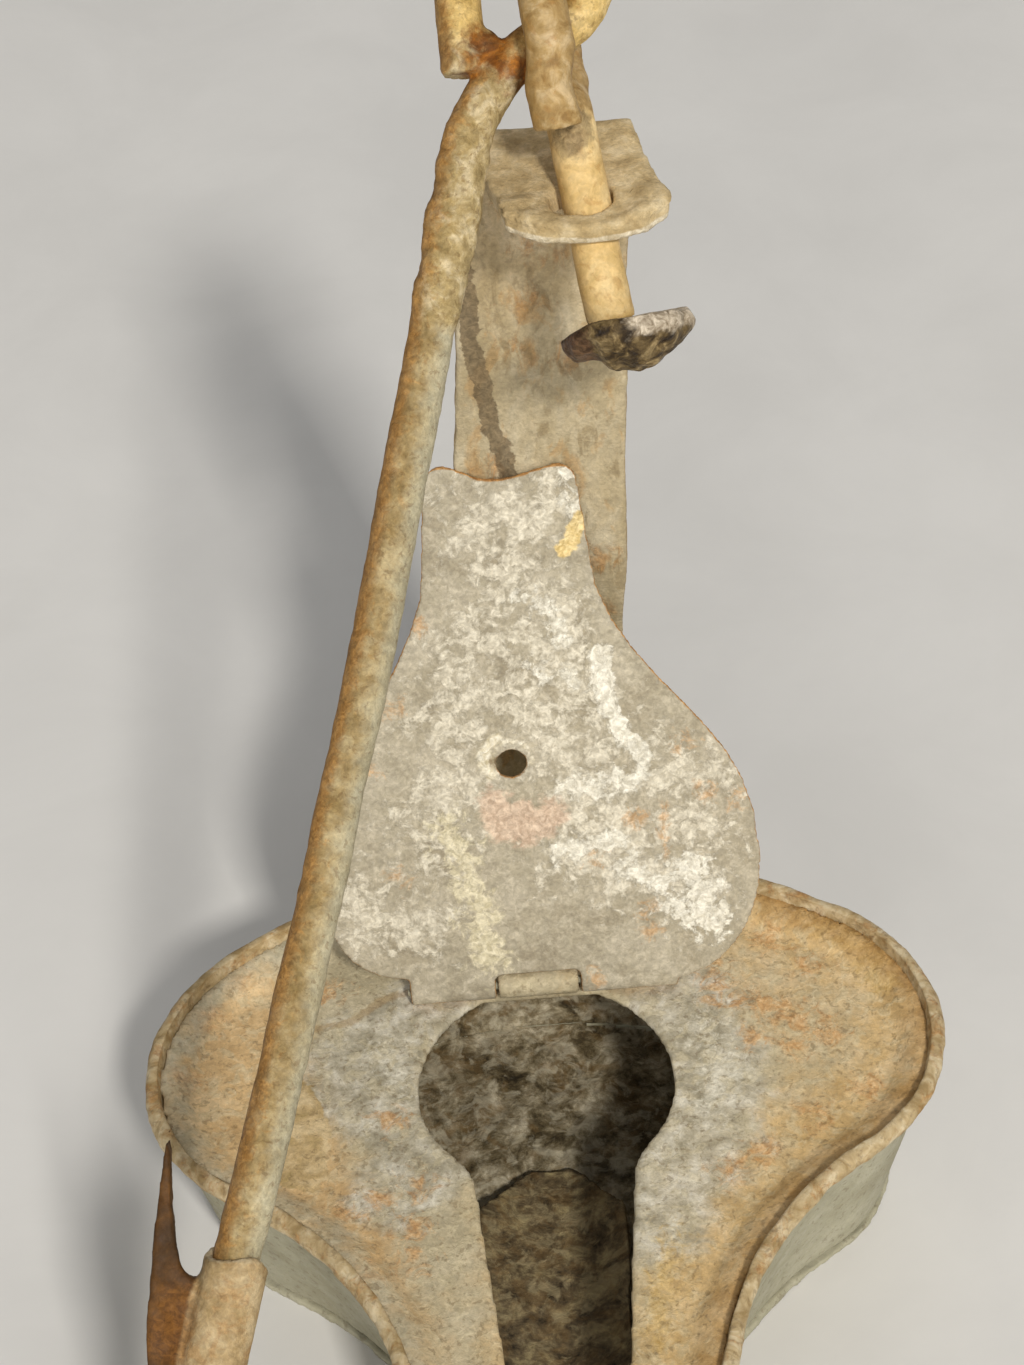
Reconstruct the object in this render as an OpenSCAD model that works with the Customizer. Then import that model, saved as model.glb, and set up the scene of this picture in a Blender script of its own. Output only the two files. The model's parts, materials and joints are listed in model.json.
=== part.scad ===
// Betty lamp: a sheet-iron oil pan with a hinged lid, a riveted bracket, a swivel and a hook hanger.
// Millimetres, +Z up, the nose towards -Y. The origin lies on the table under the keyhole's centre.

/* [Pan] */
// Width across the rolled rim
pan_w = 90; // [86:0.5:96]
// Height of the rim above the table
pan_h = 25; // [23:0.5:28]
// Radius of each round lobe at the back corners
lobe_r = 21.7; // [20:0.1:23.5]
// How far the lobe centres lie behind the keyhole's centre
lobe_y = 3.2; // [2:0.1:4.5]
// Radius of the back edge
back_r = 60; // [54:1:70]
// Radius of each hollow flank
flank_r = 38; // [34:1:42]
// Half width of the waist in front of the lobes
waist_half = 16.6; // [16:0.1:18]
// Distance from the keyhole's centre to the nose's centre
nose_y = 57; // [55:0.5:62]
// Radius of the nose
nose_r = 13; // [12.4:0.1:14]
// Radius of the rolled rim
bead_r = 1.25; // [1.1:0.05:1.4]
// Thickness of the wall sheet
wall_t = 1; // [0.8:0.05:1.2]
// How far the wall leans in between rim and floor
wall_in = 4.5; // [3.5:0.1:6]
// Thickness of the floor
floor_t = 1; // [0.8:0.05:1.4]
// How far the floor stands out past the foot of the wall
floor_lip = 0.5; // [0.2:0.05:0.8]

/* [Top plate] */
// Depth of the top plate below the rim
deck_drop = 3; // [2.6:0.1:4]
// Thickness of the top plate
deck_t = 0.9; // [0.7:0.05:1.2]
// Radius of the keyhole's round head
key_r = 14.35; // [13.6:0.05:15]
// Radius of the shoulders between the head and the wick slot
key_shoulder_r = 7; // [6:0.1:8]
// Half width of the wick slot at the shoulders
key_waist_half = 8.7; // [8:0.1:9.4]
// Distance from the keyhole's centre to the centre of the slot's end
slot_end_y = 51; // [47:0.5:53]
// Radius of the slot's end
slot_end_r = 4.9; // [4.6:0.1:5.4]

/* [Wick support] */
// Outer radius of the shallow trough
trough_r = 14; // [12:0.1:16]
// Thickness of the trough
trough_t = 0.8; // [0.6:0.05:1.2]
// Distance from the keyhole's centre to the trough's rear end
trough_back = 3; // [0:0.5:6]
// Distance from the keyhole's centre to the trough's front end
trough_front = 53; // [48:0.5:55]
// Half width of the trough at its rear end
trough_back_half = 4; // [3.4:0.1:4.6]
// Greatest half width of the trough
trough_half = 8; // [7.2:0.1:8.4]
// Length over which the trough flares out from its rear end
trough_flare = 8; // [7:0.5:12]
// Half width of the trough at its front end
trough_front_half = 6.4; // [5.6:0.1:6.6]
// Radius of the rear corners
trough_corner = 2.4; // [1.6:0.1:3]
// Slope of the trough up to the nose, in degrees
trough_slope_angle = 8; // [6:0.5:10]

/* [Lid] */
// Length from the hinge to the lid's end
lid_l = 62.6; // [58:0.2:66]
// Half width of the lid's round part on its right
lid_right = 26; // [24:0.1:27.5]
// Half width of the lid's round part on its left
lid_left = 23.6; // [22:0.1:26]
// How far the lower edge on the left starts above the hinge
lid_left_rise = 2.4; // [1:0.1:3]
// Distance from the hinge to the widest place
lid_bulge = 15.5; // [14:0.1:17]
// Half width of the lid's neck
lid_neck_half = 9.6; // [8.8:0.1:10.4]
// Distance from the hinge to the neck
lid_neck = 49; // [46:0.2:51]
// Half width of the lid's end
lid_end_half = 8.2; // [7.4:0.1:8.6]
// Depth of the hollow in the lid's end
lid_dip = 1.2; // [0.6:0.1:2]
// Radius of the lid's end corners
lid_corner = 1.8; // [1:0.1:2.4]
// Thickness of the lid
lid_t = 0.8; // [0.6:0.05:1]
// Diameter of the hole in the lid
lid_hole_d = 3.4; // [2.8:0.1:4.2]
// Distance from the hinge to the hole
lid_hole_u = 28.3; // [24:0.1:32]
// Sideways place of the hole
lid_hole_x = -1.1; // [-2:0.1:2]

/* [Hinge] */
// Distance of the hinge line behind the keyhole's centre
hinge_y = 13.2; // [12.8:0.1:13.8]
// Outer radius of the rolled knuckles
knuckle_r = 1.5; // [1.4:0.05:1.7]
// Radius of the hinge pin
pin_r = 0.7; // [0.55:0.05:0.8]
// Half length of the middle knuckle
tab_half = 4.6; // [4:0.1:5.2]
// Length of the hinge to the right of its middle
hinge_right = 16; // [15:0.1:17]
// Length of the hinge to the left of its middle
hinge_left = 14.7; // [13.5:0.1:16]

/* [Bracket] */
// Width of the strap at the rim
strap_w = 20; // [18:0.1:22]
// Width of the strap at its bend
strap_top_w = 17; // [15.5:0.1:18.5]
// Thickness of the strap
strap_t = 2; // [1.6:0.05:2.4]
// Height of the lug's upper face above the table
lug_z = 125; // [119:0.5:131]
// Sideways place of the strap's foot
strap_x = 0.9; // [-1:0.1:2]
// Sideways place of the strap's bend
strap_lean = 6.8; // [4:0.1:8]
// Straight length of the lug's sides
lug_l = 13.9; // [13.5:0.1:15]
// Width of the lug's front
lug_w = 15.2; // [14.4:0.1:17]
// How far the lug's front edge bows out
lug_bow = 3.2; // [3:0.1:4]
// Sideways offset of the lug's front from the bend
lug_shift = 3.5; // [2:0.1:4]
// Diameter of the loose swivel hole
lug_hole_d = 7.8; // [7.6:0.1:8.2]
// Distance from the strap's front to the swivel hole's centre
lug_hole_y = 12.3; // [11.8:0.1:12.6]
// Sideways offset of the swivel hole from the bend
lug_hole_shift = 3.5; // [2.4:0.1:4]
// Lower end of the foot above the table
foot_z = 4; // [3:0.1:5]
// Distance from the rolled rim down to the jog of the foot
jog_drop = 0.5; // [0.3:0.1:1]
// Distance from the foot's lower end to the lower rivet
rivet_low = 3.6; // [3.2:0.1:4]
// Distance from the jog down to the upper rivet
rivet_high = 3.2; // [2.9:0.1:3.6]
// Diameter of the rivets' shanks
rivet_d = 2.6; // [2.2:0.1:3]
// Diameter of the rivets' heads
rivet_head_d = 5.2; // [4.6:0.1:5.6]
// Height of the rivets' outer heads
rivet_head_h = 1.2; // [0.9:0.1:1.6]
// Height of the rivets' hammered inner heads
rivet_inner_h = 0.9; // [0.7:0.1:1.2]

/* [Swivel] */
// Diameter of the swivel's wire
swivel_d = 4.6; // [4.3:0.05:4.8]
// How far the swivel leans back in its loose hole, in degrees
swivel_back_angle = 34.8; // [33:0.2:36]
// How far the swivel leans sideways in its loose hole, in degrees
swivel_side_angle = 9.1; // [7:0.1:11]
// Length of the shank below the middle of the lug
swivel_drop = 10.8; // [9.8:0.1:12.8]
// Distance from the middle of the lug to the eye's centre
eye_up = 16.1; // [15.4:0.1:17.2]
// Radius of the eye at the middle of the wire
eye_r = 5.5; // [5.4:0.05:5.8]
// Distance from the middle of the lug to the tip of the eye's lapped end
lap_up = 7.7; // [6.7:0.1:8.2]
// Diameter of the button
button_d = 12.2; // [11:0.1:13]
// Sideways offset of the button on the shank
button_shift = 1.2; // [0:0.1:1.6]
// Thickness of the button's edge
button_edge = 1; // [0.7:0.05:1.4]
// Height of the button's dome
button_dome = 3.4; // [3:0.1:4]
// Diameter of the riveted tenon in the button
tenon_d = 3; // [2.6:0.1:3.4]
// Length of the tenon
tenon_l = 2.4; // [2:0.1:2.8]

/* [Hanger] */
// Diameter of the hanger's rod
rod_d = 4.4; // [4.2:0.05:4.5]
// Radius of the ring at the middle of the wire
ring_r = 6.4; // [6.3:0.05:6.7]
// Where the eye holds the ring, in degrees from the ring's right side
ring_grip_angle = -54; // [-57:1:-53]
// How far the hanger leans back, in degrees
hang_back_angle = 41; // [40:0.2:42]
// How far the hanger leans sideways, in degrees
hang_side_angle = 21.6; // [20:0.2:23]
// Turn of the ring about the rod, in degrees
hang_turn_angle = -14.5; // [-17:0.5:-12]
// Sideways offset of the rod from the ring's centre
rod_shift = -2.2; // [-2.6:0.1:-1.6]
// Distance from the ring's centre to the bend in the rod
rod_bend = 16.3; // [15:0.1:18]
// Distance from the ring's centre to the hook head's socket
socket_at = 122.5; // [118:0.5:127]

/* [Hook head] */
// Outer diameter of the socket
socket_d = 6.2; // [5.8:0.1:6.8]
// Depth of the socket
socket_depth = 12; // [9:0.5:15]
// Length of the straight part below the socket's lip
shaft_l = 26; // [22:0.5:30]
// Height of the spike's tip above the table
tip_z = 0.2; // [0.1:0.1:2]
// Diameter of the blunted spike tip
tip_d = 1.2; // [0.8:0.1:1.6]
// Thickness of the barb
barb_t = 2.4; // [1.8:0.1:3]
// Distance of the barb's point from the rod's middle
barb_out = 8.4; // [7.6:0.1:9.4]
// How far the barb's point reaches above the socket's lip
barb_up = 10.5; // [8:0.1:13]
// Greatest width of the barb
barb_w = 4; // [3:0.1:4.6]
// Depth of the barb's widest place below the socket's lip
barb_belly = 6; // [5:0.1:7]
// Depth of the barb's root below the socket's lip
barb_root = 20; // [17:0.5:21]
// Depth of the crotch between barb and socket below the lip
barb_crotch = 2.5; // [1.5:0.1:3.5]

/* [Hidden] */
// Clearances of the fits
seat = 0.05;
pin_fit = 0.05;
lid_gap = 0.25;
rest_gap = 0.3;
knuckle_gap = 0.3;
lap_gap = 0.15;
// How much thinner a bent wire starts inside its bar
tube_step = 0.4;
// Segments of the drawn curves
arc_n = 9;
bead_n = 8;
$fn = 64;
// Wall section: middle of the rolled rim, place of the sheet under it and at the floor
bead_z = pan_h - bead_r;
wall_top_d = 2 * bead_r - wall_t;
wall_top_z = bead_z - sqrt(pow(bead_r, 2) - pow(bead_r - wall_t, 2));
wall_foot_d = wall_top_d + wall_in;
wall_slope = wall_in / (wall_top_z - floor_t);
inner_slope = (wall_foot_d + wall_t - 2 * bead_r) / (bead_z - floor_t);
// Plan of the pan: the centres of its arcs
lobe_c = [pan_w / 2 - lobe_r, lobe_y];
back_c = [0, lobe_y - sqrt(pow(back_r - lobe_r, 2) - pow(lobe_c.x, 2))];
rim_back = back_c.y + back_r;
// Top plate and hinge
deck_z = pan_h - deck_drop;
deck_d = inner_at(deck_z - deck_t) + seat;
hinge_z = deck_z + lid_gap + knuckle_r;
// Bracket: front face of the strap, and the place where its foot reaches the wall
strap_y = rim_back + rest_gap;
jog_z = wall_top_z - jog_drop;
jog = (strap_y - wall_at(jog_z) - seat) / (1 - wall_slope);
foot_top_z = jog_z - jog;
wall_tilt = atan(wall_slope);
rivet_z = [foot_z + rivet_low, foot_top_z - rivet_high];
rivet_in = (inner_at(rivet_z[1]) - outer_at(rivet_z[1])) * cos(wall_tilt) + 3 * seat;
// Lid: angle from upright at which its end rests on the strap
lid_back = knuckle_r - lid_t;
lid_reach = norm([lid_l, lid_back]);
lid_lean = asin((strap_y - rest_gap - hinge_y) / lid_reach) + atan(lid_back / lid_l);
lid_open = 90 + lid_lean;
// Swivel: its hole in the lug, its axis and the eye's centre
hole_c = [strap_lean + lug_hole_shift, strap_y - lug_hole_y];
swivel_at = [hole_c.x, hole_c.y, lug_z - strap_t / 2];
swivel_turn = [-swivel_back_angle, -swivel_side_angle, 0];
eye_at = swivel_at + eye_up * axis_of(swivel_back_angle, -swivel_side_angle);
// Handles of the lid's outline: at the hinge, below and above the widest place, and at the neck
lid_root_bow = [6, 0.5];
lid_low_bow = 8.5;
lid_high_bow = [0.3, 15.5];
lid_neck_bow = [3.4, -13.5];
// Barb: gap beside the socket, depth of its root in the shaft, pull of its curves and lean of its inner edge
barb_gap = 0.6;
barb_sink = 0.4;
barb_bow = 5;
barb_lean = 1.8;
barb_rise = 8;
// Angle at which the trough's rear corners run into its flare
trough_corner_angle = 35;
// Angles at which the eye and the ring leave their straight ends
eye_join_angle = -40;
ring_join_angle = -62;
ring_leave_angle = 206;
// Butted end of the ring: where it starts, its share that swells to full width, and its place beside the rod
tail_start_angle = 194;
tail_swell = 0.25;
tail_out = 1.4;
tail_down = 4;
// Hanger: its axis, its ring's centre and the spike's length
hang_turns = [-hang_back_angle, hang_side_angle, 0];
hang_axis = axis_of(hang_back_angle, hang_side_angle);
ring_z = eye_at.z - ring_r * (turned([cos(ring_grip_angle), 0, sin(ring_grip_angle)]).z);
rod_z = ring_z + rod_shift * turned([1, 0, 0]).z;
spike_end = (rod_z - tip_z - tip_d / 2) / hang_axis.z;

// Inward offset of the wall's inner and outer faces at a height, and the outer face's place at the back
function inner_at(z) = 2 * bead_r + (bead_z - z) * inner_slope;
function outer_at(z) = wall_top_d + (wall_top_z - z) * wall_slope;
function wall_at(z) = rim_back - outer_at(z);
// Direction of a shaft that leans back and sideways
function axis_of(back, side) = [cos(back) * sin(side), sin(back), cos(back) * cos(side)];
// A direction of the hanger's own frame, in the part's frame
function turned(v) =
    let (ct = cos(hang_turn_angle), st = sin(hang_turn_angle))
    let (cb = cos(hang_back_angle), sb = sin(hang_back_angle))
    let (cs = cos(hang_side_angle), ss = sin(hang_side_angle))
    let (a = [v.x * ct - v.y * st, v.x * st + v.y * ct, v.z])
    let (b = [a.x, a.y * cb + a.z * sb, a.z * cb - a.y * sb])
    [b.x * cs + b.z * ss, b.y, b.z * cs - b.x * ss];

// Points of an arc and of a curve with two handles
function arc(c, r, from, to, n = arc_n) =
    [for (i = [0:n]) let (a = from + (to - from) * i / n) c + r * [cos(a), sin(a)]];
function curve(a, b, c, d, n = arc_n) =
    [for (i = [0:n]) let (t = i / n, s = 1 - t) s*s*s * a + 3*s*s*t * b + 3*s*t*t * c + t*t*t * d];
function mirrored(half) =
    concat(half, [for (i = [len(half) - 2:-1:1]) [-half[i].x, half[i].y]]);

// Round head, hollow flank and round nose in one line, moved in by d
function flank_centre(head, r, hollow, half) =
    [half + hollow, head.y - sqrt(pow(r + hollow, 2) - pow(half + hollow - head.x, 2))];
function flank_angle(head, flank) = atan2(flank.y - head.y, flank.x - head.x);
function nose_angle(flank, hollow, nose, r) =
    let (g = flank - nose) atan2(g.y, g.x) - acos((hollow + r) / norm(g));
function bulb(head, r, from, hollow, half, nose, tip_r, d) =
    let (flank = flank_centre(head, r, hollow, half))
    let (a = flank_angle(head, flank), b = nose_angle(flank, hollow, nose, tip_r))
    concat(
        arc(head, r - d, from, a, 2 * arc_n),
        [for (p = [1:arc_n]) arc(flank, hollow + d, a + 180, b + 180)[p]],
        arc(nose, tip_r - d, b, -90)
    );

// Plan of the pan, moved in by d from the rim's outer edge
function pan_plan(d) =
    let (a = atan2(lobe_c.y - back_c.y, lobe_c.x))
    let (back = arc(back_c, back_r - d, 90, a))
    mirrored(concat(
        [for (i = [0:arc_n - 1]) back[i]],
        bulb(lobe_c, lobe_r, a, flank_r, waist_half, [0, -nose_y], nose_r, d)
    ));
function keyhole_plan() =
    mirrored(bulb([0, 0], key_r, 90, key_shoulder_r, key_waist_half, [0, -slot_end_y], slot_end_r, 0));

// Section of the wall: inward offset and height, round the rolled rim
function wall_section() =
    let (first = atan2(wall_top_z - bead_z, wall_top_d - bead_r))
    concat(
        [[wall_foot_d, floor_t]],
        arc([bead_r, bead_z], bead_r, first, -360, bead_n),
        [[wall_foot_d + wall_t, floor_t]]
    );

// One side of the lid from the hinge, as [away from the middle, away from the hinge]
function lid_side(root, half) =
    let (bulge = [half, lid_bulge], neck = [lid_neck_half, lid_neck])
    let (side = [lid_end_half, lid_l - lid_corner], horn = [lid_end_half - lid_corner, lid_l])
    let (dip = [0, lid_l - lid_dip])
    let (low = curve(root, root + lid_root_bow, bulge - [0, lid_low_bow], bulge))
    let (high = curve(bulge, bulge + lid_high_bow, neck + lid_neck_bow, neck))
    concat(
        low,
        [for (i = [1:arc_n]) high[i]],
        curve(side, side + [0, lid_corner / 2], horn + [lid_corner / 2, 0], horn),
        [for (i = [1:arc_n]) curve(horn, horn - [lid_corner, 0], dip + [lid_corner, 0], dip)[i]]
    );
function lid_plan() =
    let (right = lid_side([hinge_right, 0], lid_right))
    let (left = lid_side([hinge_left, lid_left_rise], lid_left))
    concat(right, [for (i = [len(left) - 2:-1:0]) [-left[i].x, left[i].y]], [[-hinge_left, 0]]);

// Eye of the swivel: out of the shank, round behind, over the top and down in front of the shank
function eye_path() =
    let (c = [0, eye_up], join = c + eye_r * [cos(eye_join_angle), sin(eye_join_angle)])
    let (handle = join - eye_r / 2 * [-sin(eye_join_angle), cos(eye_join_angle)])
    concat(
        [[0, lap_up - swivel_d / 2]],
        curve([0, lap_up], [0, lap_up + eye_r / 2], handle, join),
        [for (i = [1:2 * arc_n]) arc(c, eye_r, eye_join_angle, 180, 2 * arc_n)[i]],
        [[-swivel_d - lap_gap, lap_up]]
    );

// Ring of the hanger: up from the rod's bend and round anticlockwise
function ring_path() =
    let (join = ring_r * [cos(ring_join_angle), sin(ring_join_angle)], bend = [rod_shift, -rod_bend])
    let (handle = join - ring_r / 3 * [-sin(ring_join_angle), cos(ring_join_angle)])
    concat(
        [bend - [0, rod_d / 2]],
        curve(bend, bend + [0, rod_bend / 5], handle, join),
        [for (i = [1:2 * arc_n]) arc([0, 0], ring_r, ring_join_angle, ring_leave_angle, 2 * arc_n)[i]]
    );
// Butted end of the ring: out of its wire and down onto the rod's side
function tail_path() =
    let (start = ring_r * [cos(tail_start_angle), sin(tail_start_angle)])
    let (end = [rod_shift - tail_out, -ring_r - tail_down])
    [start, start + tail_swell * (end - start), end];

// Closed skin that carries each point of a section round its own outline
module swept(rings, heights) {
    n = len(rings[0]);
    m = len(rings);
    points = [for (k = [0:m - 1]) for (p = rings[k]) [p.x, p.y, heights[k]]];
    faces = [
        for (k = [0:m - 1]) for (i = [0:n - 1])
            let (a = k * n + i, b = k * n + (i + 1) % n)
            let (c = ((k + 1) % m) * n + (i + 1) % n, d = ((k + 1) % m) * n + i)
            for (f = [[a, b, c], [a, c, d]]) f
    ];
    polyhedron(points, faces);
}

// Round wire along a path in the XZ plane, thinner where it starts inside a bar
module tube(path, r, sides = 12) {
    n = len(path);
    points = [
        for (i = [0:n - 1])
            let (t = path[min(i + 1, n - 1)] - path[max(i - 1, 0)], u = t / norm(t))
            let (q = i == 0 ? r - tube_step : r)
            for (k = [0:sides - 1])
                let (c = q * cos(360 * k / sides), h = q * sin(360 * k / sides))
                [path[i].x - c * u.y, h, path[i].y + c * u.x]
    ];
    skin = [
        for (i = [0:n - 2]) for (k = [0:sides - 1])
            let (a = i * sides + k, b = i * sides + (k + 1) % sides)
            for (f = [[a, b + sides, a + sides], [a, b, b + sides]]) f
    ];
    first = [for (k = [sides - 1:-1:0]) k];
    last = [for (k = [0:sides - 1]) (n - 1) * sides + k];
    polyhedron(points, concat(skin, [first, last]));
}

// Frames of the swivel and of the hanger
module in_swivel() {
    translate(swivel_at)
        rotate(swivel_turn)
            children();
}
module in_hanger() {
    translate(eye_at)
        rotate(hang_turns)
            rotate([0, 0, hang_turn_angle])
                translate([-ring_r * cos(ring_grip_angle), 0, -ring_r * sin(ring_grip_angle)])
                    children();
}

// Places of the two rivets, with the axis out of the wall
module at_rivets() {
    for (z = rivet_z)
        translate([strap_x, wall_at(z), z])
            rotate([-90 - wall_tilt, 0, 0])
                children();
}

module floor_plate() {
    color("#6f6a5e")
        linear_extrude(floor_t)
            polygon(pan_plan(wall_foot_d - floor_lip));
}

module side_wall() {
    section = wall_section();
    color("#8d8778")
        difference() {
            swept([for (s = section) pan_plan(s.x)], [for (s = section) s.y]);
            at_rivets()
                cylinder(h = 4 * wall_t, d = rivet_d + 2 * pin_fit, center = true);
        }
}

module top_plate() {
    tab_front = hinge_y - knuckle_r / 3;
    color("#9a8f78")
        difference() {
            union() {
                translate([0, 0, deck_z - deck_t])
                    linear_extrude(deck_t)
                        difference() {
                            polygon(pan_plan(deck_d));
                            intersection() {
                                polygon(keyhole_plan());
                                translate([-pan_w / 2, tab_front - pan_w])
                                    square(pan_w);
                            }
                        }
                translate([-tab_half, tab_front, deck_z - deck_t / 2])
                    cube([2 * tab_half, hinge_y + knuckle_r - tab_front, hinge_z - deck_z + deck_t / 2]);
                translate([-tab_half, hinge_y, hinge_z])
                    rotate([0, 90, 0])
                        cylinder(h = 2 * tab_half, r = knuckle_r);
            }
            translate([-pan_w / 2, hinge_y, hinge_z])
                rotate([0, 90, 0])
                    cylinder(h = pan_w, r = pin_r + pin_fit / 2);
        }
}

module wick_support() {
    up = [0, sin(trough_slope_angle), cos(trough_slope_angle)];
    start = [0, trough_back, floor_t + seat] + trough_r * up;
    color("#5c584e")
        intersection() {
            translate(start)
                rotate([90 - trough_slope_angle, 0, 0])
                    intersection() {
                        difference() {
                            cylinder(h = 2 * pan_w, r = trough_r);
                            translate([0, 0, -trough_t])
                                cylinder(h = 2 * pan_w + 2 * trough_t, r = trough_r - trough_t);
                        }
                        translate([-trough_r, -2 * trough_r, 0])
                            cube([2 * trough_r, 1.5 * trough_r, 2 * pan_w]);
                    }
            linear_extrude(deck_z - 2 * deck_t)
                trough_plan();
        }
}

// Tongue seen from above, narrow and round at the rear
module trough_plan() {
    corner = [trough_back_half - trough_corner, trough_back - trough_corner];
    polygon(mirrored(concat(
        [[0, trough_back]],
        arc(corner, trough_corner, 90, trough_corner_angle),
        [[trough_half, trough_back - trough_flare], [trough_front_half, -trough_front], [0, -trough_front]]
    )));
}

module lid() {
    notch = tab_half + knuckle_gap;
    color("#a7a294")
        translate([0, hinge_y, hinge_z])
            rotate([-lid_open, 0, 0])
                difference() {
                    union() {
                        translate([0, 0, -knuckle_r])
                            mirror([0, 1, 0])
                                linear_extrude(lid_t)
                                    difference() {
                                        polygon(lid_plan());
                                        translate([lid_hole_x, lid_hole_u])
                                            circle(d = lid_hole_d);
                                    }
                        translate([-hinge_left, 0, 0])
                            rotate([0, 90, 0])
                                cylinder(h = hinge_left + hinge_right, r = knuckle_r);
                    }
                    translate([-notch, -knuckle_r - 2 * knuckle_gap, -2 * knuckle_r])
                        cube([2 * notch, 2 * knuckle_r + 4 * knuckle_gap, 4 * knuckle_r]);
                    translate([-pan_w / 2, 0, 0])
                        rotate([0, 90, 0])
                            cylinder(h = pan_w, r = pin_r + pin_fit);
                }
}

module hinge_pin() {
    color("#6b5a45")
        translate([-hinge_left - knuckle_gap, hinge_y, hinge_z])
            rotate([0, 90, 0])
                cylinder(h = hinge_left + hinge_right + 2 * knuckle_gap, r = pin_r);
}

module bracket() {
    back = strap_y + strap_t;
    color("#8f8468")
        difference() {
            union() {
                translate([0, back, 0])
                    rotate([90, 0, 0])
                        linear_extrude(strap_t)
                            polygon([
                                [strap_x - strap_w / 2, jog_z], [strap_x + strap_w / 2, jog_z],
                                [strap_lean + strap_top_w / 2, lug_z - strap_t],
                                [strap_lean - strap_top_w / 2, lug_z - strap_t]
                            ]);
                translate([strap_lean - strap_top_w / 2, strap_y, lug_z - strap_t])
                    intersection() {
                        rotate([0, 90, 0])
                            cylinder(h = strap_top_w, r = strap_t);
                        cube([strap_top_w, strap_t, strap_t]);
                    }
                translate([0, 0, lug_z - strap_t])
                    linear_extrude(strap_t)
                        lug_plan();
                foot();
            }
            translate([hole_c.x, hole_c.y, lug_z - 2 * strap_t])
                cylinder(h = 4 * strap_t, d = lug_hole_d);
            at_rivets()
                cylinder(h = 8 * strap_t, d = rivet_d + 2 * pin_fit, center = true);
        }
}

// Lug seen from above: straight sides and a bowed front
module lug_plan() {
    front_y = strap_y - lug_l;
    front_x = strap_lean + lug_shift;
    bow_r = (pow(lug_w / 2, 2) + pow(lug_bow, 2)) / (2 * lug_bow);
    half_angle = asin(lug_w / 2 / bow_r);
    polygon(concat(
        [[strap_lean + strap_top_w / 2, strap_y], [strap_lean - strap_top_w / 2, strap_y]],
        arc([front_x, front_y - lug_bow + bow_r], bow_r, -90 - half_angle, -90 + half_angle)
    ));
}

// Foot of the strap: a jog under the rim, then flat on the sloping wall
module foot() {
    run = strap_t * (1 / cos(wall_tilt) - 1);
    translate([strap_x - strap_w / 2, 0, 0])
        rotate([90, 0, 90])
            linear_extrude(strap_w)
                polygon([
                    [strap_y, jog_z + strap_t], [strap_y, jog_z],
                    [wall_at(foot_top_z) + seat, foot_top_z], [wall_at(foot_z) + seat, foot_z],
                    [wall_at(foot_z) + seat + strap_t + run, foot_z],
                    [wall_at(foot_top_z) + seat + strap_t + run, foot_top_z],
                    [strap_y + strap_t, jog_z], [strap_y + strap_t, jog_z + strap_t]
                ]);
}

module bracket_rivets() {
    grip = strap_t + seat;
    color("#7d7360")
        at_rivets() {
            translate([0, 0, -rivet_in - rivet_inner_h / 2])
                cylinder(h = rivet_in + rivet_inner_h / 2 + grip + rivet_head_h / 2, d = rivet_d);
            translate([0, 0, grip + seat])
                rivet_head(rivet_head_h);
            translate([0, 0, -rivet_in])
                mirror([0, 0, 1])
                    rivet_head(rivet_inner_h);
        }
}

// Low domed head with its flat side down
module rivet_head(h) {
    ball = (pow(rivet_head_d / 2, 2) + pow(h, 2)) / (2 * h);
    intersection() {
        translate([0, 0, h - ball])
            sphere(r = ball);
        cylinder(h = h, d = rivet_head_d + h);
    }
}

module swivel_pin() {
    color("#b79b63")
        in_swivel() {
            translate([0, 0, -swivel_drop])
                cylinder(h = swivel_drop + lap_up, d = swivel_d);
            translate([0, 0, -swivel_drop - tenon_l])
                cylinder(h = tenon_l + seat, d = tenon_d);
            rotate([0, 0, 90])
                tube(eye_path(), swivel_d / 2);
        }
}

module swivel_button() {
    ball = (pow(button_d / 2, 2) + pow(button_dome, 2)) / (2 * button_dome);
    color("#3a3128")
        in_swivel()
            translate([0, 0, -swivel_drop - seat])
                difference() {
                    translate([button_shift, 0, -button_edge]) {
                        cylinder(h = button_edge, d = button_d);
                        intersection() {
                            translate([0, 0, ball - button_dome])
                                sphere(r = ball);
                            translate([0, 0, -button_dome])
                                cylinder(h = button_dome, d = button_d);
                        }
                    }
                    translate([0, 0, -tenon_l - seat])
                        cylinder(h = 2 * tenon_l, d = tenon_d + 2 * seat);
                }
}

module hanger_rod() {
    color("#98875c")
        in_hanger() {
            tube(ring_path(), rod_d / 2);
            tube(tail_path(), rod_d / 2);
            translate([rod_shift, 0, -socket_at - socket_depth + seat])
                cylinder(h = socket_at + socket_depth - seat - rod_bend, d = rod_d);
        }
}

module hook_head() {
    bore_end = -socket_at - socket_depth;
    color("#94764a")
        in_hanger()
            translate([rod_shift, 0, 0]) {
                rotate_extrude()
                    polygon([
                        [rod_d / 2 + seat, -socket_at], [socket_d / 2, -socket_at],
                        [socket_d / 2, -socket_at - shaft_l], [tip_d / 2, -spike_end], [0, -spike_end],
                        [0, bore_end], [rod_d / 2 + seat, bore_end]
                    ]);
                translate([0, barb_t / 2, -socket_at])
                    rotate([90, 0, 0])
                        linear_extrude(barb_t)
                            barb_plan();
            }
}

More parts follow.
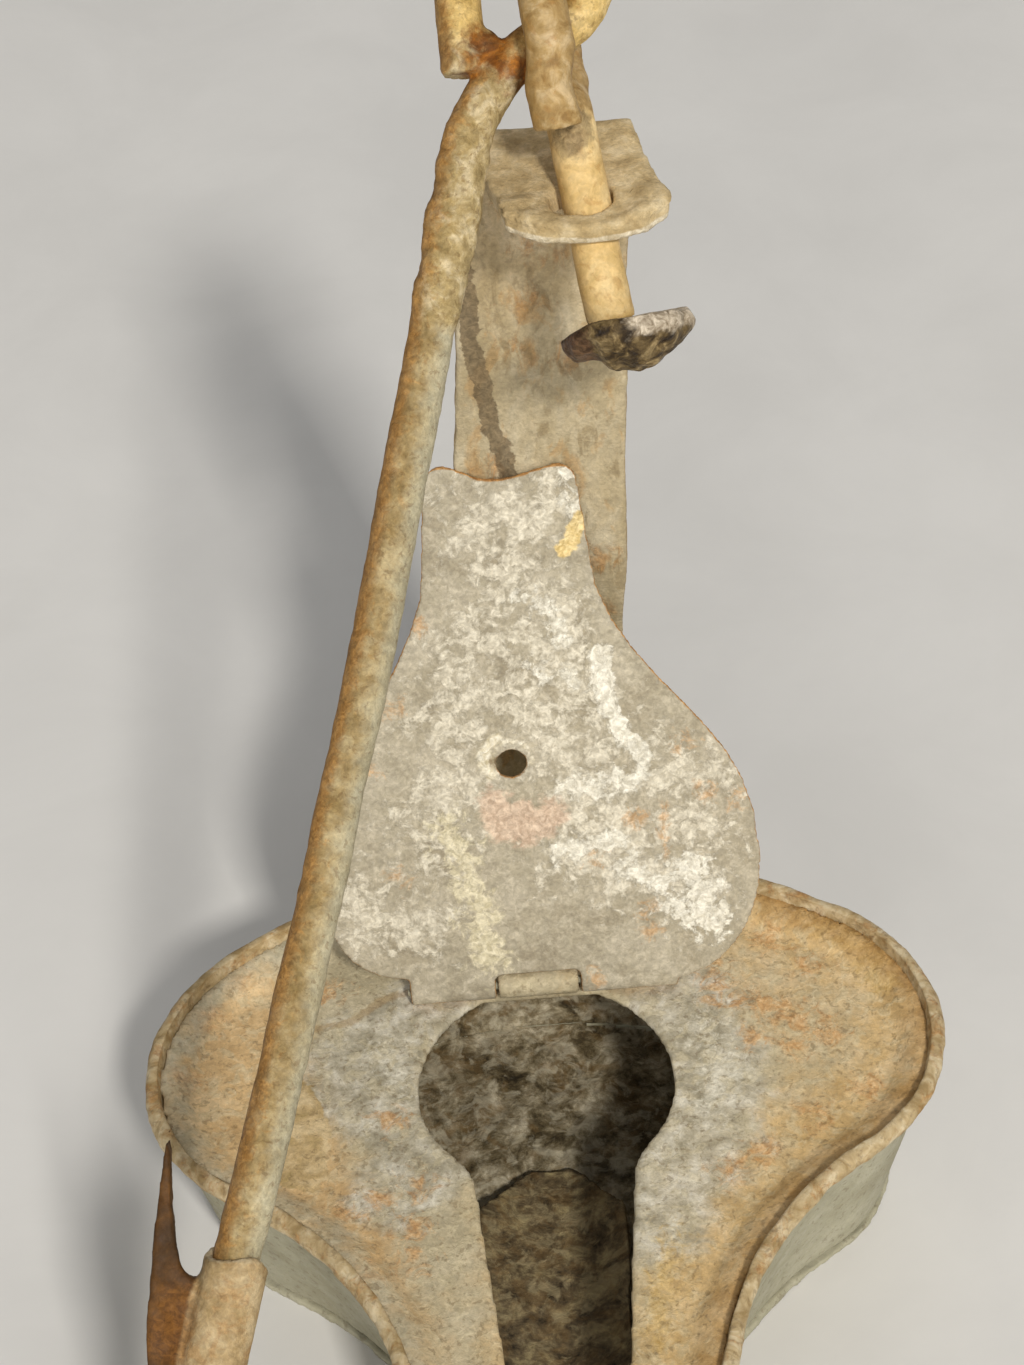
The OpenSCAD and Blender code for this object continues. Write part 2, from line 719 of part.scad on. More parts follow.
// Leaf of the barb beside the socket: point upward, root on the shaft
module barb_plan() {
    inside = socket_d / 2;
    sunk = rod_d / 2 + barb_sink;
    point = [-barb_out, barb_up];
    crotch = [-inside - barb_gap, -barb_crotch];
    belly = [-inside - barb_w, -barb_belly];
    root = [-sunk, -barb_root];
    outer = curve(point, point - [barb_gap, barb_bow], belly + [-barb_gap, barb_bow], belly);
    under = curve(belly, belly + [barb_gap, -barb_bow], root + [-barb_w / 2, barb_bow], root);
    inner = curve(crotch, crotch - [barb_w / 2, 0], point + [barb_lean, -barb_rise], point);
    polygon(concat(
        outer,
        [for (i = [1:arc_n]) under[i]],
        [[-sunk, -barb_belly]],
        [for (i = [0:arc_n - 1]) inner[i]]
    ));
}

floor_plate();
side_wall();
top_plate();
wick_support();
lid();
hinge_pin();
bracket();
bracket_rivets();
swivel_pin();
swivel_button();
hanger_rod();
hook_head();
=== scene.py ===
import json
import math

import bmesh
import bpy
import numpy as np
from mathutils import Matrix, Vector
from mathutils.kdtree import KDTree


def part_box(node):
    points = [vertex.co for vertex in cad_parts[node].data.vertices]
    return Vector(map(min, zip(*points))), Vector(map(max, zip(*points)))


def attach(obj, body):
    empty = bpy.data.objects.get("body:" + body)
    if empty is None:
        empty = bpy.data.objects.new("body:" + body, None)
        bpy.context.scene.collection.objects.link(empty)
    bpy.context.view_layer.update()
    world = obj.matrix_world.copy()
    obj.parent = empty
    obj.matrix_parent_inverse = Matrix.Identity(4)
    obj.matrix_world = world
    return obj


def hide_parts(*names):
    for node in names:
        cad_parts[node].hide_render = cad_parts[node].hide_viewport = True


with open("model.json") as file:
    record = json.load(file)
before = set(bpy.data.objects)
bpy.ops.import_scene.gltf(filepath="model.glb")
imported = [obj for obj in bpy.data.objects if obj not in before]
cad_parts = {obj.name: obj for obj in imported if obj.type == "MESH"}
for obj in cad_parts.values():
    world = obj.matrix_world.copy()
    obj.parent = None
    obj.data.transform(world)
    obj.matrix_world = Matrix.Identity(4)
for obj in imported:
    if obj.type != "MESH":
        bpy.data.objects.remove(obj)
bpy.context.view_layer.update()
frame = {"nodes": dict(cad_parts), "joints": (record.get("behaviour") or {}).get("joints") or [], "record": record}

MM = 0.001

# Thickness of the top plate and the strap, and radius of the swivel pin, in millimetres
PLATE_T = 0.9
STRAP_T = 2
PIN_R = 2.3

# Places and directions in the part's frame, in millimetres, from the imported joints, mounts and boxes
JOINTS = {joint["name"]: joint for joint in frame["joints"]}
MOUNTS = {mount["name"]: mount for mount in frame["record"]["mounts"]}
HINGE = np.array(JOINTS["lid_hinge"]["pos_m"]) / MM
LID_OPEN = math.radians(JOINTS["lid_hinge"]["range_deg"][1])
LID_ALONG = np.array([0, -math.cos(LID_OPEN), math.sin(LID_OPEN)])
LID_BACK = np.array([0, math.sin(LID_OPEN), math.cos(LID_OPEN)])
SWIVEL_AT = np.array(JOINTS["swivel_turn"]["pos_m"]) / MM
SWIVEL_UP = np.array(JOINTS["swivel_turn"]["axis"])
SWIVEL_SIDE = np.cross([0, 1, 0], SWIVEL_UP)
SWIVEL_SIDE = SWIVEL_SIDE / np.linalg.norm(SWIVEL_SIDE)
SWIVEL_BACK = np.cross(SWIVEL_UP, SWIVEL_SIDE)
RING_AT = np.array(JOINTS["hanger_swing"]["pos_m"]) / MM
RING_BACK = np.array(JOINTS["hanger_swing"]["axis"])
ROD_UP = np.array(MOUNTS["hook"]["axis"])
ROD_SIDE = np.cross(RING_BACK, ROD_UP)
DECK_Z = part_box("top_plate")[0].z / MM + PLATE_T
RIM_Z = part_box("side_wall")[1].z / MM
STRAP_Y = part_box("bracket")[1].y / MM - STRAP_T
LUG_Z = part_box("bracket")[1].z / MM
SIDEWAYS = np.array([1, 0, 0])
UP = np.array([0, 0, 1])


# Noise

TWIST = np.array(Matrix.Rotation(0.7, 3, Vector((0.4, 0.5, 0.77)).normalized()))
CELL_PRIMES = np.array([374761393, 668265263, 1274126177])
SEED_PRIME = 974634559
LOW_32 = 0xFFFFFFFF
LOW_16 = 0xFFFF


def lattice(cell, seed):
    """Repeatable value from -1 to 1 at each whole-number point."""
    mixed = (cell @ CELL_PRIMES + seed * SEED_PRIME) & LOW_32
    mixed = ((mixed ^ (mixed >> 13)) * CELL_PRIMES[2]) & LOW_32
    return ((mixed ^ (mixed >> 16)) & LOW_16) / (LOW_16 / 2) - 1


def noise(points, size, seed=0):
    """Smooth noise from -1 to 1 with lumps of the given size."""
    place = points @ TWIST / size
    corner = np.floor(place).astype(np.int64)
    part = place - corner
    part = part * part * part * (part * (part * 6 - 15) + 10)
    total = np.zeros(len(points))
    for step in np.ndindex(2, 2, 2):
        weight = np.prod(np.where(step, part, 1 - part), axis=1)
        total += weight * lattice(corner + np.array(step), seed)
    return total


def fractal(points, size, octaves=3, seed=0):
    """Noise with finer noise on top of it."""
    return sum(noise(points, size / 2 ** k, seed + 7 * k) / 2 ** k for k in range(octaves))


def drift(points, size, seed):
    """Noise in all three directions, which bends a sheet without changing its thickness."""
    return np.stack([noise(points, size, seed + k) for k in range(3)], axis=1)


def rise(values, low, high):
    """Smooth step from 0 at low to 1 at high."""
    t = np.clip((values - low) / (high - low), 0, 1)
    return t * t * (3 - 2 * t)


def near(points, places, radius):
    """Depth in round patches: 1 at a centre, 0 at the edge and less outside."""
    away = np.min([np.linalg.norm(points - np.array(p), axis=1) for p in places], axis=0)
    return 1 - away / radius


def along(points, places, radius):
    """Depth in a stroke through the places: 1 on its line, 0 at its edge and less outside."""
    reach = []
    for a, b in zip(places, places[1:]):
        run = np.array(b, float) - a
        t = np.clip((points - a) @ run / (run @ run), 0, 1)
        reach.append(np.linalg.norm(points - a - np.outer(t, run), axis=1))
    return 1 - np.min(reach, axis=0) / radius


def brush(points, place):
    """Depth in round spots and in strokes on a face, whose places are given by two numbers each."""
    def spots(radius, *places):
        return near(points, [place(*p) for p in places], radius)

    def strokes(radius, *lines):
        return np.max([along(points, [place(*p) for p in line], radius) for line in lines], axis=0)
    return spots, strokes


def even(**levels):
    """Painter of zones that have the same depth all over a piece."""
    def painted(points, normals):
        return {name: np.full(len(points), float(level)) for name, level in levels.items()}
    return painted


def off_line(points, place, direction):
    """Distance from a line."""
    away = points - place
    return np.linalg.norm(away - np.outer(away @ direction, direction), axis=1)


# Meshes

def add_beads(mesh, beads):
    """Balls that the remesher melts into a solid, each a place and a radius."""
    for place, radius in beads:
        ball = bmesh.ops.create_icosphere(mesh, subdivisions=3, radius=radius)
        bmesh.ops.translate(mesh, verts=ball["verts"], vec=place)


def add_band(mesh, rings):
    """Closed band through rings of points, each joined to the next and the last to the first."""
    made = [[mesh.verts.new(p) for p in ring] for ring in rings]
    count = len(made[0])
    for first, second in zip(made, made[1:] + made[:1]):
        for i in range(count):
            k = (i + 1) % count
            mesh.faces.new((first[i], first[k], second[k], second[i]))


def evened(node, voxel, extra=None):
    """Even, closed mesh of a solid and what is melted into it, in millimetres."""
    raw = bmesh.new()
    raw.from_mesh(frame["nodes"][node].data)
    bmesh.ops.remove_doubles(raw, verts=raw.verts, dist=1e-6)
    raw.transform(Matrix.Scale(1 / MM, 4))
    if extra:
        extra(raw)
    mesh = bpy.data.meshes.new(node + "_raw")
    raw.to_mesh(mesh)
    raw.free()
    holder = bpy.data.objects.new(node + "_raw", mesh)
    bpy.context.scene.collection.objects.link(holder)
    remesh = holder.modifiers.new("even", "REMESH")
    remesh.mode = "VOXEL"
    remesh.voxel_size = voxel
    bpy.context.view_layer.update()
    made = bpy.data.meshes.new_from_object(holder.evaluated_get(bpy.context.evaluated_depsgraph_get()))
    bpy.data.objects.remove(holder)
    bpy.data.meshes.remove(mesh)
    return made


def read(items, name, width=3):
    """Values of a mesh's points or faces, one row each."""
    flat = np.empty(len(items) * width)
    items.foreach_get(name, flat)
    return flat.reshape(-1, width)


def put(mesh, points):
    """Moves a mesh's points to new places."""
    mesh.vertices.foreach_set("co", np.ascontiguousarray(points).ravel())
    mesh.update()


def eased(mesh, rounds):
    """Rounds sharp edges and the remesher's steps, and keeps the thickness."""
    points = read(mesh.vertices, "co")
    flat = np.empty(len(mesh.edges) * 2, dtype=np.int64)
    mesh.edges.foreach_get("vertices", flat)
    ends = flat.reshape(-1, 2)
    both = np.concatenate([ends, ends[:, ::-1]])
    count = np.bincount(both[:, 0], minlength=len(points))[:, None]
    for push in (0.6, -0.62) * rounds:
        near_sum = [np.bincount(both[:, 0], points[both[:, 1], k], len(points)) for k in range(3)]
        points = points + push * (np.stack(near_sum, axis=1) / count - points)
    put(mesh, points)


def paint(mesh, fields):
    """Keeps named values on the points of a mesh for its material."""
    for name, values in fields.items():
        kept = mesh.attributes.new(name, "FLOAT", "POINT")
        kept.data.foreach_set("value", np.clip(values, -3, 3).astype(np.float32))


def forged(node, body, finishes, shape, painted=None, inner=None, extra=None, voxel=0.45, rounds=4):
    """Finished piece in place of a solid: even mesh, eased edges and the piece's own hammered shape."""
    mesh = evened(node, voxel, extra)
    eased(mesh, rounds)
    mesh.materials.clear()
    for finish in finishes:
        mesh.materials.append(finish)
    if inner:
        chosen = inner(read(mesh.polygons, "center"), read(mesh.polygons, "normal"))
        mesh.polygons.foreach_set("material_index", chosen.astype(np.int32))
    points = read(mesh.vertices, "co")
    normals = read(mesh.vertex_normals, "vector")
    if painted:
        paint(mesh, painted(points, normals))
    put(mesh, shape(points, normals))
    mesh.transform(Matrix.Scale(MM, 4))
    mesh.polygons.foreach_set("use_smooth", [True] * len(mesh.polygons))
    mesh.name = node + "_forged"
    piece = bpy.data.objects.new(node + "_forged", mesh)
    bpy.context.scene.collection.objects.link(piece)
    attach(piece, body)
    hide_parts(node)


def hammered(points, normals, seed, dents=0.12, pits=0.07, grain=0.03):
    """Height of shallow hammer dents, rust pits and a fine scale, as moves along the normals."""
    deep = rise(noise(points, 2.6, seed + 40), 0.15, 0.75)
    height = dents * fractal(points, 9, 2, seed + 20)
    height = height - pits * deep * (0.6 + 0.4 * noise(points, 1.1, seed + 50))
    height = height + grain * fractal(points, 1.3, 2, seed + 60)
    return normals * height[:, None]


def plain(seed, wander, dents, pits, grain):
    """Shape of a small piece: a wandering surface with dents and pits."""
    def shape(points, normals):
        return points + wander * drift(points, 11, seed) + hammered(points, normals, seed, dents, pits, grain)
    return shape


# Finishes

def tone(code):
    """Scene colour of a written sRGB colour."""
    parts = [int(code[i:i + 2], 16) / 255 for i in (1, 3, 5)]
    return [*(p / 12.92 if p <= 0.04045 else ((p + 0.055) / 1.055) ** 2.4 for p in parts), 1]


class Finish:
    """One procedural material, drawn in the piece's own coordinates."""

    def __init__(self, name):
        self.material = bpy.data.materials.new(name)
        self.material.use_nodes = True
        self.tree = self.material.node_tree
        self.shader = self.tree.nodes["Principled BSDF"]
        self.place = self.add("ShaderNodeTexCoord").outputs["Object"]

    def add(self, kind, inputs=(), **settings):
        node = self.tree.nodes.new(kind)
        for key, value in settings.items():
            setattr(node, key, value)
        for key, value in dict(inputs).items():
            self.feed(node.inputs[key], value)
        return node

    def feed(self, socket, value):
        if isinstance(value, bpy.types.NodeSocket):
            self.tree.links.new(value, socket)
        else:
            socket.default_value = value

    def math(self, operation, *values):
        return self.add("ShaderNodeMath", dict(enumerate(values)), operation=operation).outputs[0]

    def grain(self, size, detail=4, rough=0.55, warp=0.0, shift=0.0, stretch=(1, 1, 1)):
        """Noise from 0 to 1 with lumps of the given size in millimetres."""
        scale = [s / (size * MM) for s in stretch]
        values = {0: self.place, 1: scale, 2: (shift, shift, shift)}
        moved = self.add("ShaderNodeVectorMath", values, operation="MULTIPLY_ADD").outputs[0]
        values = {"Vector": moved, "Scale": 1.0, "Detail": detail, "Roughness": rough, "Distortion": warp}
        return self.add("ShaderNodeTexNoise", values).outputs["Fac"]

    def worm(self, size=0.9):
        """Fine wavy scale that lies over every piece."""
        return self.grain(size, 5, 0.62, 1.1, 5)

    def step(self, value, low, high, bottom=0.0, top=1.0):
        """Smooth change from bottom at low to top at high."""
        values = {"Value": value, "From Min": low, "From Max": high, "To Min": bottom, "To Max": top}
        return self.add("ShaderNodeMapRange", values, interpolation_type="SMOOTHSTEP").outputs["Result"]

    def ramp(self, value, *tones):
        """Tones spread evenly over the common part of a noise, with soft changes between them."""
        node = self.add("ShaderNodeValToRGB", {"Fac": value})
        marks = node.color_ramp.elements
        while len(marks) < len(tones):
            marks.new(0.5)
        for mark, place, code in zip(marks, np.linspace(0.36, 0.64, len(tones)), tones):
            mark.position = place
            mark.color = tone(code)
        return node.outputs["Color"]

    def skin(self, size, *tones, warp=0.4, shift=0.0, stretch=(1, 1, 1)):
        """Base colour that drifts between tones in lumps of the given size."""
        return self.ramp(self.grain(size, 6, 0.62, warp, shift, stretch), *tones)

    def mix(self, mask, under, over, share=1.0):
        if share < 1:
            mask = self.math("MULTIPLY", mask, share)
        node = self.add("ShaderNodeMix", data_type="RGBA", clamp_factor=True)
        self.feed(node.inputs["Factor"], mask)
        self.feed(node.inputs[6], tone(under) if isinstance(under, str) else under)
        self.feed(node.inputs[7], tone(over) if isinstance(over, str) else over)
        return node.outputs[2]

    def shade(self, colour, value, amount):
        """Darker and lighter by the given share where the value is low and high."""
        scale = self.step(value, 0.3, 0.7, 1 - amount, 1 + amount)
        return self.add("ShaderNodeVectorMath", {0: colour, "Scale": scale}, operation="SCALE").outputs[0]

    def mottled(self, colour, worm, coarse, fine, size=0.6, warp=0.7):
        """Lighter and darker with the wavy scale and with finer specks of the given size."""
        specks = self.grain(size, 4, 0.7, warp, 3)
        return self.shade(self.shade(colour, worm, coarse), specks, fine)

    def painted(self, name):
        return self.add("ShaderNodeAttribute", attribute_name=name).outputs["Fac"]

    def patch(self, name, ragged=0.5, size=3.0, soft=0.25, shift=0.0):
        """Painted patch with a ragged edge."""
        edge = self.math("MULTIPLY_ADD", self.grain(size, 6, 0.65, 0.4, shift), 4 * ragged, -2 * ragged)
        return self.step(self.math("ADD", self.painted(name), edge), -soft, soft)

    def scatter(self, name, size, soft=0.08, warp=0.8, shift=0.0, stretch=(1, 1, 1)):
        """Flecks that run together in the middle of a painted zone and thin out beyond its edge."""
        value = self.grain(size, 8, 0.7, warp, shift, stretch)
        value = self.math("MULTIPLY_ADD", self.painted(name), 0.16, value)
        return self.step(value, 0.6 - soft, 0.6 + soft)

    def flecks(self, size, share, soft=0.05, warp=0.8, shift=0.0, stretch=(1, 1, 1)):
        """Scattered small patches that cover about the given share."""
        level = 0.5 + 0.22 * (0.5 - share)
        value = self.grain(size, 5, 0.6, warp, shift, stretch)
        return self.step(value, level - soft, level + soft)

    def done(self, colour, rough_low, rough_high, relief, depth=0.07):
        """Connects colour, uneven gloss and fine relief."""
        self.feed(self.shader.inputs["Base Color"], colour)
        gloss = self.step(self.grain(2.2, 4, 0.6, 0.3, 31), 0.3, 0.7, rough_low, rough_high)
        self.feed(self.shader.inputs["Roughness"], gloss)
        self.shader.inputs["Specular IOR Level"].default_value = 0.25
        bump = self.add("ShaderNodeBump", {"Height": relief, "Strength": 0.9, "Distance": depth * MM})
        self.feed(self.shader.inputs["Normal"], bump.outputs["Normal"])
        return self.material

    def rough_skin(self, *extra):
        """Height of the fine scale, with whatever lies on it."""
        height = self.math("ADD", self.worm(), self.grain(0.45, 3, 0.6, 1.0, 8))
        for mask in extra:
            height = self.math("MULTIPLY_ADD", mask, 0.6, height)
        return height


def lid_finish():
    f = Finish("lid_grey_bloom")
    worm = f.worm()
    colour = f.skin(6, "#9b9079", "#a99f88", "#b9af99")
    faint = f.flecks(1.8, 0.3, 0.08, 0.4, 61)
    colour = f.mix(faint, colour, f.ramp(worm, "#b3a890", "#c6bca6"), 0.6)
    dust = f.scatter("bloom", 2.1, 0.06, 0.4, 23)
    colour = f.mix(dust, colour, f.ramp(worm, "#c6bca5", "#dfd7c3"), 0.86)
    column = f.scatter("column", 1.8, 0.07, 0.4, 13)
    colour = f.mix(column, colour, f.ramp(worm, "#cdc19d", "#e2d8ba"), 0.85)
    thick = f.scatter("thick", 1.7, 0.05, 0.3, 11)
    colour = f.mix(thick, colour, f.ramp(worm, "#d8d0bb", "#eee9d9"), 0.95)
    pink = f.patch("pink", 0.6, 1.6, 0.3, 7)
    colour = f.mix(pink, colour, f.ramp(worm, "#c6a98f", "#dcc4ab"), 0.85)
    ochre = f.patch("ochre", 0.4, 1.0, 0.2, 9)
    colour = f.mix(ochre, colour, f.ramp(worm, "#d3b46f", "#f0d89e"), 0.9)
    rust = f.scatter("rust", 1.5, 0.1, 0.7, 15)
    colour = f.mix(rust, colour, f.ramp(worm, "#b98d5a", "#d3ad80"), 0.7)
    colour = f.mix(f.patch("edge", 0.35, 2.5, 0.3, 17), colour, f.ramp(worm, "#a67238", "#cb9858"), 0.9)
    colour = f.mix(f.patch("dent", 0.3, 1.0, 0.3, 19), colour, "#85704c", 0.8)
    worn = f.patch("worn", 0.6, 1.2, 0.35, 21)
    colour = f.mix(worn, colour, f.ramp(worm, "#d6c8a4", "#efe8d4"), 0.85)
    return f.done(f.mottled(colour, worm, 0.12, 0.15), 0.55, 0.85, f.rough_skin(thick, dust), 0.09)


def deck_finish():
    f = Finish("deck_tan_rust")
    worm = f.worm()
    colour = f.skin(7, "#a59879", "#b4a788", "#c2b597")
    warm = f.patch("warm", 0.8, 6, 0.8, 3)
    colour = f.mix(warm, colour, f.skin(5, "#bb9a64", "#ceae79", "#dcc092", shift=4), 0.9)
    lobe = f.patch("lobe", 0.5, 5, 0.6, 29)
    colour = f.mix(lobe, colour, f.skin(5, "#b89768", "#c9a979", "#d6bb8f", shift=9))
    grey = f.patch("grey", 0.5, 4, 0.35, 21)
    colour = f.mix(grey, colour, f.skin(3, "#968e79", "#bab29d", "#dbd5c4", shift=27), 0.85)
    colour = f.mix(f.scatter("white", 1.5, 0.08, 0.7, 45), colour, f.ramp(worm, "#c6bfaa", "#e0dac8"), 0.8)
    faint = f.flecks(2.0, 0.3, 0.08, 0.8, 61)
    colour = f.mix(faint, colour, f.ramp(worm, "#c3b590", "#d0c3a2"), 0.45)
    olive = f.patch("olive", 0.3, 3, 0.06, 33)
    colour = f.mix(olive, colour, f.skin(3, "#a58e5d", "#bda375", "#d3bc91", shift=7), 0.95)
    rust = f.scatter("rust", 2.0, 0.11, 0.9, 37)
    colour = f.mix(rust, colour, f.ramp(worm, "#b5824a", "#cb9b63", "#d9b585"), 0.75)
    colour = f.mix(f.scatter("ochre", 2.0, 0.12, 0.8, 47), colour, f.ramp(worm, "#bd9955", "#d8bb80"), 0.7)
    # Hollow by the rim: pale grey-green on the left, partly painted light where it faces the key lamp; rust-brown
    # on the right, partly rust and partly painted shade where it turns from the lamp
    pale = f.patch("pale_gutter", 0.5, 4, 0.6, 57)
    colour = f.mix(pale, colour, f.skin(2.5, "#aaa389", "#bab49d", shift=49), 0.8)
    gutter = f.patch("gutter", 0.6, 3.5, 0.7, 39)
    colour = f.mix(gutter, colour, f.skin(2.5, "#8f6731", "#a77f47", "#bd9966", shift=41), 0.7)
    # Dark brown line in the crease where the plate meets the rim on the right: painted shade in the crease, partly
    # rust
    colour = f.mix(f.patch("groove", 0.5, 3, 0.5, 53), colour, f.ramp(worm, "#5c3610", "#835727"), 0.85)
    colour = f.mix(f.patch("line", 0.8, 1.2, 0.5, 55), colour, "#9a7c4e", 0.5)
    colour = f.mix(f.flecks(0.8, 0.05, 0.04, 0.4, 51), colour, "#6b5636", 0.4)
    return f.done(f.mottled(colour, worm, 0.11, 0.11), 0.6, 0.9, f.rough_skin(rust, faint))


def wall_finish():
    f = Finish("wall_pale_grey")
    worm = f.worm()
    colour = f.skin(10, "#9b957c", "#a5a088", "#aea992")
    uneven = f.skin(2.5, "#9a8258", "#b8a27a", "#cfbe9b", warp=0.8, shift=9)
    rim = f.patch("rim", 0.35, 4, 0.4, 19)
    colour = f.mix(rim, colour, uneven)
    rust = f.scatter("rust", 2.6, 0.09, 0.9, 29)
    colour = f.mix(rust, colour, f.ramp(worm, "#8a5c2a", "#b98a50"), 0.7)
    colour = f.mix(f.flecks(0.9, 0.03, 0.04, 0.4, 51), colour, "#63513a", 0.35)
    return f.done(f.shade(colour, worm, 0.07), 0.5, 0.8, f.rough_skin(rust))


def inner_finish(name, tones, lumps, pale):
    f = Finish(name)
    worm = f.grain(1.5, 5, 0.65, 1.2, 5)
    colour = f.ramp(f.grain(lumps, 8, 0.72, 0.3), *tones)
    colour = f.mix(f.flecks(3.2, 0.3, 0.08, 0.9, 35), colour, "#7a5f38", 0.4)
    # Pale flecks on the dark crust: partly pale scale, partly painted highlights on raised flakes
    colour = f.mix(f.flecks(2.4, 0.22, 0.07, 0.7, 15), colour, pale, 0.55)
    return f.done(f.shade(colour, worm, 0.2), 0.45, 0.75, worm, 0.25)


def bracket_finish():
    f = Finish("bracket_grey_tan")
    worm = f.worm()
    tall = (1, 1, 0.45)
    colour = f.skin(5, "#a69674", "#b4a585", "#c1b497", stretch=tall)
    # Upper strap: warmer tan, also painted lighter to cancel the shadow that the lug, pin and button cast there
    high = f.skin(5, "#a9946d", "#bba680", "#cab897", stretch=tall)
    colour = f.mix(f.step(f.painted("high"), -1, 1), colour, high)
    rust = f.scatter("rust", 1.8, 0.1, 0.9, 37, tall)
    colour = f.mix(rust, colour, f.ramp(worm, "#a0703a", "#c2945d"), 0.65)
    colour = f.mix(f.flecks(3.0, 0.1, 0.05, 0.7, 63, tall), colour, "#b0874e", 0.45)
    colour = f.mix(f.flecks(2.0, 0.1, 0.05, 0.7, 65, tall), colour, "#84714f", 0.5)
    lug = f.skin(2.5, "#ae966a", "#c3ac80", "#d8c49c", shift=3)
    colour = f.mix(f.step(f.painted("lug"), -0.3, 0.3), colour, lug, 0.95)
    streak = f.patch("streak", 0.55, 2.0, 0.12, 43)
    colour = f.mix(streak, colour, f.ramp(worm, "#61523b", "#7e6c50"), 0.85)
    colour = f.mix(f.patch("edge", 0.4, 3, 0.4, 47), colour, f.ramp(worm, "#8a642f", "#c2a06c"), 0.5)
    worn = f.patch("worn", 0.3, 1.6, 0.3, 59)
    colour = f.mix(worn, colour, f.ramp(worm, "#cdbb98", "#e6dcc4"), 0.85)
    return f.done(f.mottled(colour, worm, 0.11, 0.12), 0.55, 0.85, f.rough_skin(rust), 0.14)


def swivel_finish():
    f = Finish("swivel_yellow_tan")
    worm = f.worm()
    colour = f.skin(3, "#caaa6d", "#d9ba80", "#e6cb94")
    crust = f.skin(2.2, "#886838", "#a88b5a", "#c4ab82", warp=0.6, shift=13)
    eye = f.patch("eye", 0.45, 2.5, 0.3, 3)
    colour = f.mix(eye, colour, crust, 0.95)
    colour = f.mix(f.flecks(1.6, 0.08, 0.05, 0.8, 21), colour, "#a87c42", 0.4)
    # Painted shade: the pin's left side, turned from the key lamp, is darker brown
    colour = f.mix(f.step(f.painted("left"), 0.35, 1), colour, "#a67f42", 0.55)
    joint = f.patch("joint", 0.4, 1.6, 0.3, 25)
    colour = f.mix(joint, colour, f.ramp(worm, "#5c4c33", "#8d7a58"), 0.75)
    return f.done(f.mottled(colour, worm, 0.1, 0.06), 0.5, 0.8, f.rough_skin(eye))


def button_finish():
    f = Finish("button_dark_brown")
    worm = f.worm()
    colour = f.skin(1.8, "#22180d", "#3b2d18", "#635132", "#937f59", warp=0.6)
    tongue = f.patch("tongue", 0.5, 2, 0.25, 13)
    colour = f.mix(tongue, colour, f.ramp(worm, "#3a2514", "#6b4f38"), 0.9)
    # Pale rim on the button's upper right: partly wear, partly a painted highlight where it faces the key lamp
    worn = f.patch("worn", 0.45, 1.4, 0.35, 17)
    colour = f.mix(worn, colour, f.ramp(worm, "#8d7c63", "#d3c5af"), 0.9)
    return f.done(f.shade(colour, worm, 0.15), 0.35, 0.65, f.rough_skin(), 0.15)


def rod_finish():
    f = Finish("rod_tan_olive")
    worm = f.worm(0.8)
    colour = f.skin(3.0, "#836d42", "#9b855a", "#b2a078")
    # Painted highlight: the rod's right side, which faces the key lamp, turns lighter grey-green; partly its grey
    # scale as well
    right = f.patch("right", 0.35, 2.5, 0.5, 7)
    colour = f.mix(right, colour, f.skin(3, "#a9a286", "#bbb69d", shift=5), 0.75)
    ring = f.patch("ring", 0.4, 3, 0.4, 9)
    colour = f.mix(ring, colour, f.skin(2.5, "#b69757", "#cdaf6f", "#dfc48a", shift=7))
    crust = f.patch("crust", 0.45, 2.4, 0.4, 11)
    colour = f.mix(crust, colour, f.skin(1.8, "#8d7748", "#ab9566", "#cdbb95", warp=0.5, shift=19), 0.85)
    # Painted shade: the rod's left side, turned from the key lamp, is darker orange-brown; partly rust as well
    left = f.step(f.painted("left"), 0.0, 0.8)
    colour = f.mix(left, colour, f.skin(2.5, "#835b29", "#a37840", shift=15), 0.72)
    # Rust flecks, gathered on the same shaded left side
    rust = f.scatter("left", 1.8, 0.1, 0.9, 17)
    colour = f.mix(rust, colour, f.ramp(worm, "#8f6129", "#b98a4b"), 0.6)
    joint = f.patch("joint", 0.5, 1.6, 0.4, 23)
    lumps = f.grain(2, 5, 0.6, 0.6, 27)
    colour = f.mix(joint, colour, f.ramp(lumps, "#4a2600", "#754004", "#a16318"), 0.95)
    colour = f.mix(f.flecks(0.8, 0.06, 0.04, 0.6, 51), colour, "#6a4f2a", 0.4)
    return f.done(f.mottled(colour, worm, 0.14, 0.13, 0.55, 0.8), 0.55, 0.85, f.rough_skin(crust), 0.1)


def hook_finish():
    f = Finish("hook_orange_brown")
    worm = f.worm(0.8)
    colour = f.skin(3, "#917a51", "#a89068", "#bca781")
    colour = f.mix(f.flecks(2.4, 0.3, 0.07, 0.8, 17), colour, f.ramp(worm, "#8a6236", "#b08a58"), 0.5)
    # Barb near-black brown: partly its rust, partly painted shade, since it lies turned from the key lamp
    barb = f.skin(4, "#341d04", "#472a08", "#5f3c12", shift=29)
    colour = f.mix(f.patch("barb", 0.3, 2.5, 0.3, 33), colour, barb, 0.95)
    colour = f.mix(f.patch("crotch", 0.5, 2.0, 0.4, 35), colour, f.ramp(worm, "#573107", "#875821"), 0.5)
    colour = f.mix(f.patch("lip", 0.4, 1.5, 0.3, 37), colour, "#cfbf9f", 0.6)
    return f.done(f.mottled(colour, worm, 0.12, 0.11), 0.55, 0.85, f.rough_skin(), 0.1)


# Lid

LID_FACE = 1.5  # the face's distance in front of the hinge's axis
LID_END = 63  # the upper end's distance from the hinge
LID_HOLE = (-1, 29.1)  # the hole's middle on the lid
LID_HOLE_R = 2.1  # the worn ring round the hole
PIN_PLAY = 0.25  # what is taken off the hinge pin's radius


def on_lid(x, u):
    """Place on the lid's face from its sideways place and its distance from the hinge."""
    return HINGE + SIDEWAYS * x + LID_ALONG * u - LID_BACK * LID_FACE


def hinge_free(points):
    """0 at the hinge, which stays true, and 1 away from it."""
    return rise(off_line(points, HINGE, SIDEWAYS), 2, 7)


